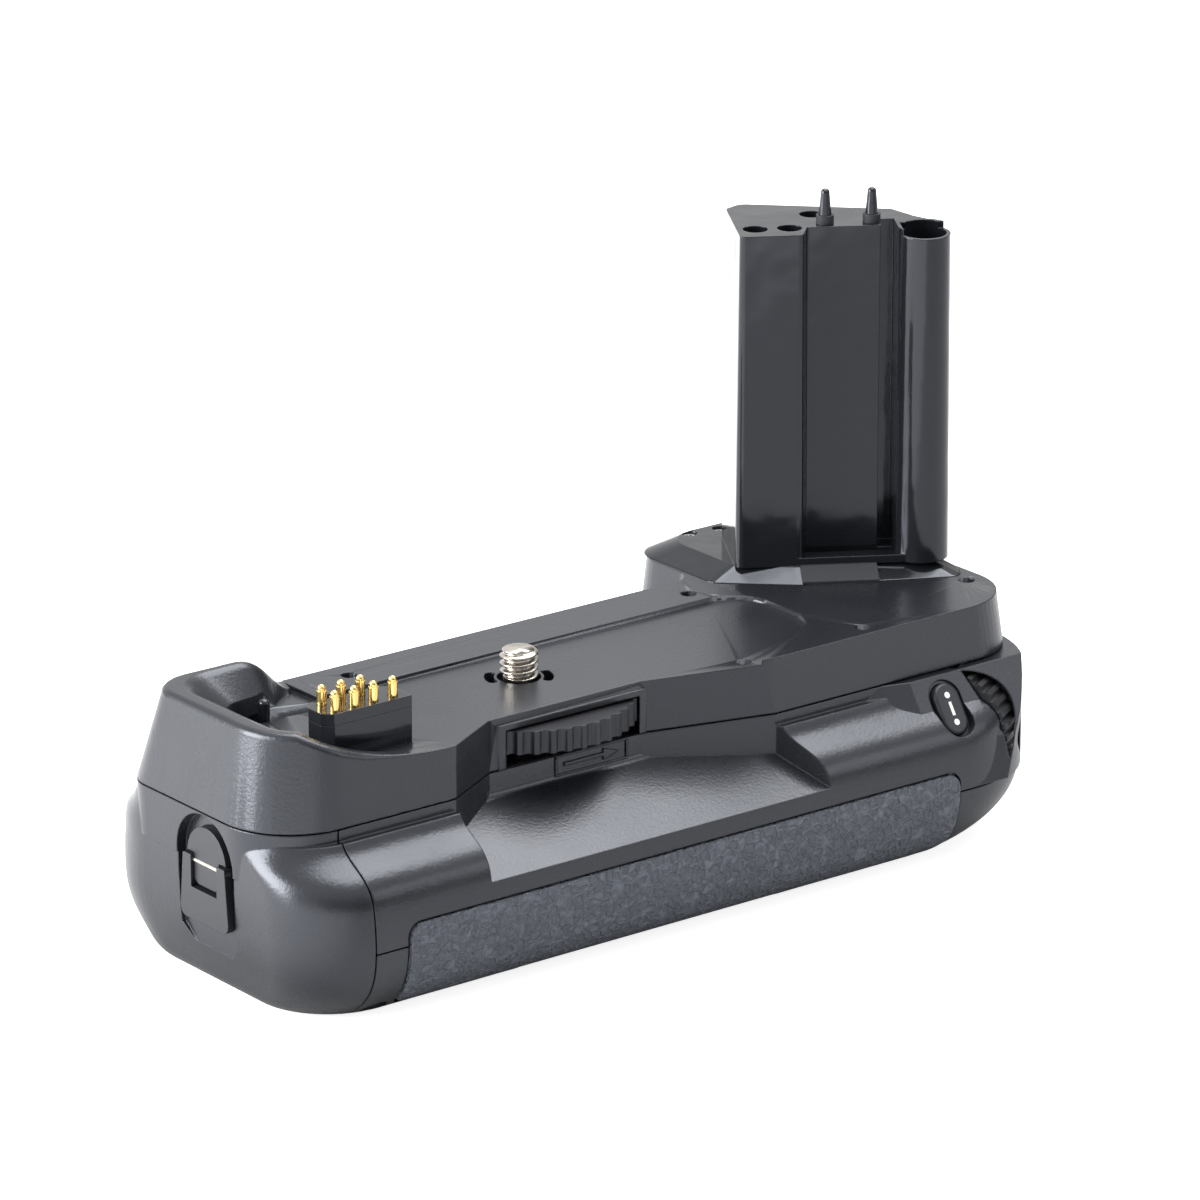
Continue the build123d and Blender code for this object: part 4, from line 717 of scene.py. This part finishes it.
def set_heads(node, upward, seed):
    """Replaces a node of plain screws by heads with a cross recess at the same places."""
    boxes = islands(node)
    low, high = boxes[0]
    radius, length = (high.x - low.x) / 2, high.z - low.z
    head = cross_head(node + "_head", radius, head_height, length - head_height, screw_shank)
    if not upward:
        head.data.transform(Matrix.Rotation(pi, 4, "X"))
    seats = [((a.x + b.x) / 2, (a.y + b.y) / 2, b.z - head_height if upward else a.z + head_height) for a, b in boxes]
    points = bpy.data.meshes.new(node + "_points")
    points.from_pydata(seats, [], [])
    holder = put_in_scene(node + "_crossed", points)
    tree = head_tree(node + "_tree", head, finishes["steel"])
    modifier = holder.modifiers.new("heads", "NODES")
    modifier.node_group = tree
    settings = {"Scale": 1.0, "Turn seed": seed}
    for item in tree.interface.items_tree:
        if item.in_out == "INPUT" and item.name in settings:
            modifier[item.identifier] = settings[item.name]
    bake(holder)
    bpy.data.objects.remove(head)
    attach(holder, "grip_body")
    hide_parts(node)
    return holder


for node, upward, seed in (("cover_screws", True, 3), ("insert_screws", True, 5), ("base_screws", False, 7)):
    placed = set_heads(node, upward, seed)
    print(node, len(placed.data.polygons), "faces")

# %% [markdown]
# ## The arrow plate under the lock wheel
# Below the wheel's window the wall carries a raised frame that says which way to turn the wheel.
# Here it holds a plain arrow. The frame is four bars and the arrow a flat outline, both given a
# small thickness, so one helper that thickens an outline makes them all.

# %% Raised frame with a plain arrow
def raised_shape(name, outline, place, across, up, thickness, finish, body):
    """A flat outline, given in mm along two directions, thickened outwards from its place."""
    across, up = Vector(across).normalized(), Vector(up).normalized()
    out = across.cross(up)
    low = [Vector(place) + (across * u + up * v) * mm for u, v in outline]
    high = [p + out * thickness * mm for p in low]
    return add_mesh(name, low + high, prism_faces(len(outline)), finish, body, smooth=False)


def bar(length, height, left, low):
    """The outline of a bar, in mm."""
    return [(left, low), (left + length, low), (left + length, low + height), (left, low + height)]


wall_y = -14.0 * mm
plate_left, plate_low, plate_length, plate_height, rail = -3.4, -12.6, 14.8, 3.6, 0.35
plate_rise, plate_place = 0.3, (0, wall_y, 0)
upright = plate_height - 2 * rail
tail, neck, tip, stem_half, head_half = -1.6, 6.4, 9.6, 0.3, 1.0
middle = plate_low + plate_height / 2
arrow = [(tail, middle - stem_half), (neck, middle - stem_half), (neck, middle - head_half), (tip, middle),
         (neck, middle + head_half), (neck, middle + stem_half), (tail, middle + stem_half)]
for name, outline in (
        ("arrow_frame_low", bar(plate_length, rail, plate_left, plate_low)),
        ("arrow_frame_high", bar(plate_length, rail, plate_left, plate_low + plate_height - rail)),
        ("arrow_frame_left", bar(rail, upright, plate_left, plate_low + rail)),
        ("arrow_frame_right", bar(rail, upright, plate_left + plate_length - rail, plate_low + rail)),
        ("lock_arrow", arrow)):
    piece = raised_shape(name, outline, plate_place, (1, 0, 0), (0, 0, 1), plate_rise, finishes["shell"], "grip_body")
print("arrow plate", plate_length, "x", plate_height, "mm")

# %% [markdown]
# ## The mark on the oval button
# The oval button by the dial carries a white mark. A bar between two dots is plain enough to mean
# nothing in particular, and it shows at the size of the real mark. It stands a hair proud of the
# button, square to the slope that the button faces.

# %% White mark
def white_paint(name):
    material, tree, shader, place = start_finish(name)
    shade(shader, (0.8, 0.8, 0.79), 0.5)
    speck = wire(tree, "ShaderNodeTexNoise", links=[("Vector", place)], values=[("Scale", 2.0), ("Detail", 2.0)])
    tint(tree, shader, speck.outputs["Fac"], (0.72, 0.72, 0.71), (0.85, 0.85, 0.84))
    relief(tree, shader, speck.outputs["Fac"], 0.01, 0.05)
    return material


finishes["paint"] = white_paint("white_paint")
button_low, button_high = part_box("rear_button")
button_up = Vector((0, 0.5529, 0.8332))
button_across = Vector((1, 0, 0))
button_out = button_across.cross(button_up)
top = max(v.co.dot(button_out) for v in nodes["rear_button"].data.vertices)
middle_point = (button_low + button_high) / 2
mark_sink, mark_rise = 0.005, 0.02
mark_place = middle_point + button_out * (top - middle_point.dot(button_out) - mark_sink * mm)


def disc(radius, u, v, sides=24):
    """The outline of a round dot, in mm."""
    return [(u + radius * cos(2 * pi * i / sides), v + radius * sin(2 * pi * i / sides)) for i in range(sides)]


for name, outline in (("button_mark_bar", bar(0.6, 2.4, -0.3, -1.2)), ("button_mark_dot_1", disc(0.55, 0, -2.4)),
                      ("button_mark_dot_2", disc(0.55, 0, 2.4))):
    raised_shape(name, outline, mark_place, button_across, button_up, mark_rise, finishes["paint"], "rear_button")
print("mark on the button at", [round(v / mm, 1) for v in mark_place])

# %% [markdown]
# ## Floor and light
# The photograph is high key: a white sweep with a soft shadow. The floor is a mid grey in itself and
# gets lifted to white for the camera, so only the shadow shows. In reflections it is bright behind
# the grip and at its left, and dark elsewhere, as it looks in the polished post.

# %% Floor
def combine(tree, operation, first, second):
    """Two values joined by a Math node. The second may be a plain number."""
    node = wire(tree, "ShaderNodeMath", links=[(0, first)], operation=operation)
    if isinstance(second, float):
        node.inputs[1].default_value = second
    else:
        tree.links.new(second, node.inputs[1])
    return node.outputs["Value"]


def axes(tree, output):
    """The X, Y and Z of one output of the texture coordinates."""
    place = wire(tree, "ShaderNodeTexCoord")
    return wire(tree, "ShaderNodeSeparateXYZ", links=[("Vector", place.outputs[output])]).outputs


white = (1, 1, 1, 1)
floor_z, floor_half = cad_low[2], 3.0
floor_grey, camera_lift = 0.55, 0.84
floor_mesh = bpy.data.meshes.new("floor")
floor_mesh.from_pydata([(x * floor_half, y * floor_half, floor_z) for x, y in ((-1, -1), (1, -1), (1, 1), (-1, 1))],
                       [], [(0, 1, 2, 3)])
floor_piece = put_in_scene("floor", floor_mesh)
paper = bpy.data.materials.new("white_sweep")
paper.use_nodes = True
tree = paper.node_tree
paper_shader = tree.nodes["Principled BSDF"]
for socket, value in (("Base Color", (floor_grey, floor_grey, floor_grey, 1)), ("Roughness", 0.8),
                      ("Specular IOR Level", 0.0), ("Emission Color", white)):
    paper_shader.inputs[socket].default_value = value
rays, spot = wire(tree, "ShaderNodeLightPath").outputs, axes(tree, "Object")
to_camera = combine(tree, "MULTIPLY", rays["Is Camera Ray"], camera_lift)
behind = ramp(tree, spot["Y"], 0.0, 0.12, 0.0, 0.8)
at_left = ramp(tree, spot["X"], -0.065, -0.10, 0.0, 1.0)
mirrored = combine(tree, "MULTIPLY", rays["Is Glossy Ray"], combine(tree, "MAXIMUM", behind, at_left))
tree.links.new(combine(tree, "MAXIMUM", to_camera, mirrored), paper_shader.inputs["Emission Strength"])
floor_mesh.materials.append(paper)
print("floor at", round(floor_z / mm, 1), "mm")

# %% [markdown]
# The world is white to the camera. To everything else it is a studio: bright overhead, at the left
# and beyond the grip, with a soft edge towards the dim rest of the room. Each row of the table
# names an axis, where along it the light starts and is full, and how strong it is there.

# %% World
world = bpy.data.worlds.new("studio")
bpy.context.scene.world = world
world.use_nodes = True
tree = world.node_tree
sky = tree.nodes["Background"]
sky.inputs["Color"].default_value = white
dim = 0.10
level, towards = wire(tree, "ShaderNodeLightPath").outputs["Is Camera Ray"], axes(tree, "Generated")
for axis, start, full, strength in (("Z", 0.05, 0.8, 1.0), ("X", -0.45, -0.9, 0.9), ("Y", 0.35, 0.8, 1.0)):
    side = ramp(tree, towards[axis], start, full, dim, strength, interpolation_type="SMOOTHSTEP")
    level = combine(tree, "MAXIMUM", level, side)
tree.links.new(level, sky.inputs["Strength"])
print("world lit from above, the left and beyond")

# %% [markdown]
# Three softboxes do the rest: a large one over the grip, a large one low at its left, which draws
# the bright edges of the post and the end cap, and a small weak one that fills the shadow side.

# %% Lamps
def softbox(name, place, size, power, target=(0.015, 0, 0)):
    """A large square lamp that faces the grip."""
    lamp = bpy.data.lights.new(name, "AREA")
    lamp.shape, lamp.size, lamp.energy = "SQUARE", size, power
    holder = put_in_scene(name, lamp)
    holder.location = place
    holder.rotation_euler = (Vector(target) - Vector(place)).to_track_quat("-Z", "Y").to_euler()


softbox("key_over", (0.25, 0.1, 0.75), 0.7, 10)
softbox("side_left", (-0.9, 0.35, 0.28), 0.7, 24)
softbox("fill_right", (0.7, -0.8, 0.4), 0.5, 1.5)
print("three softboxes")
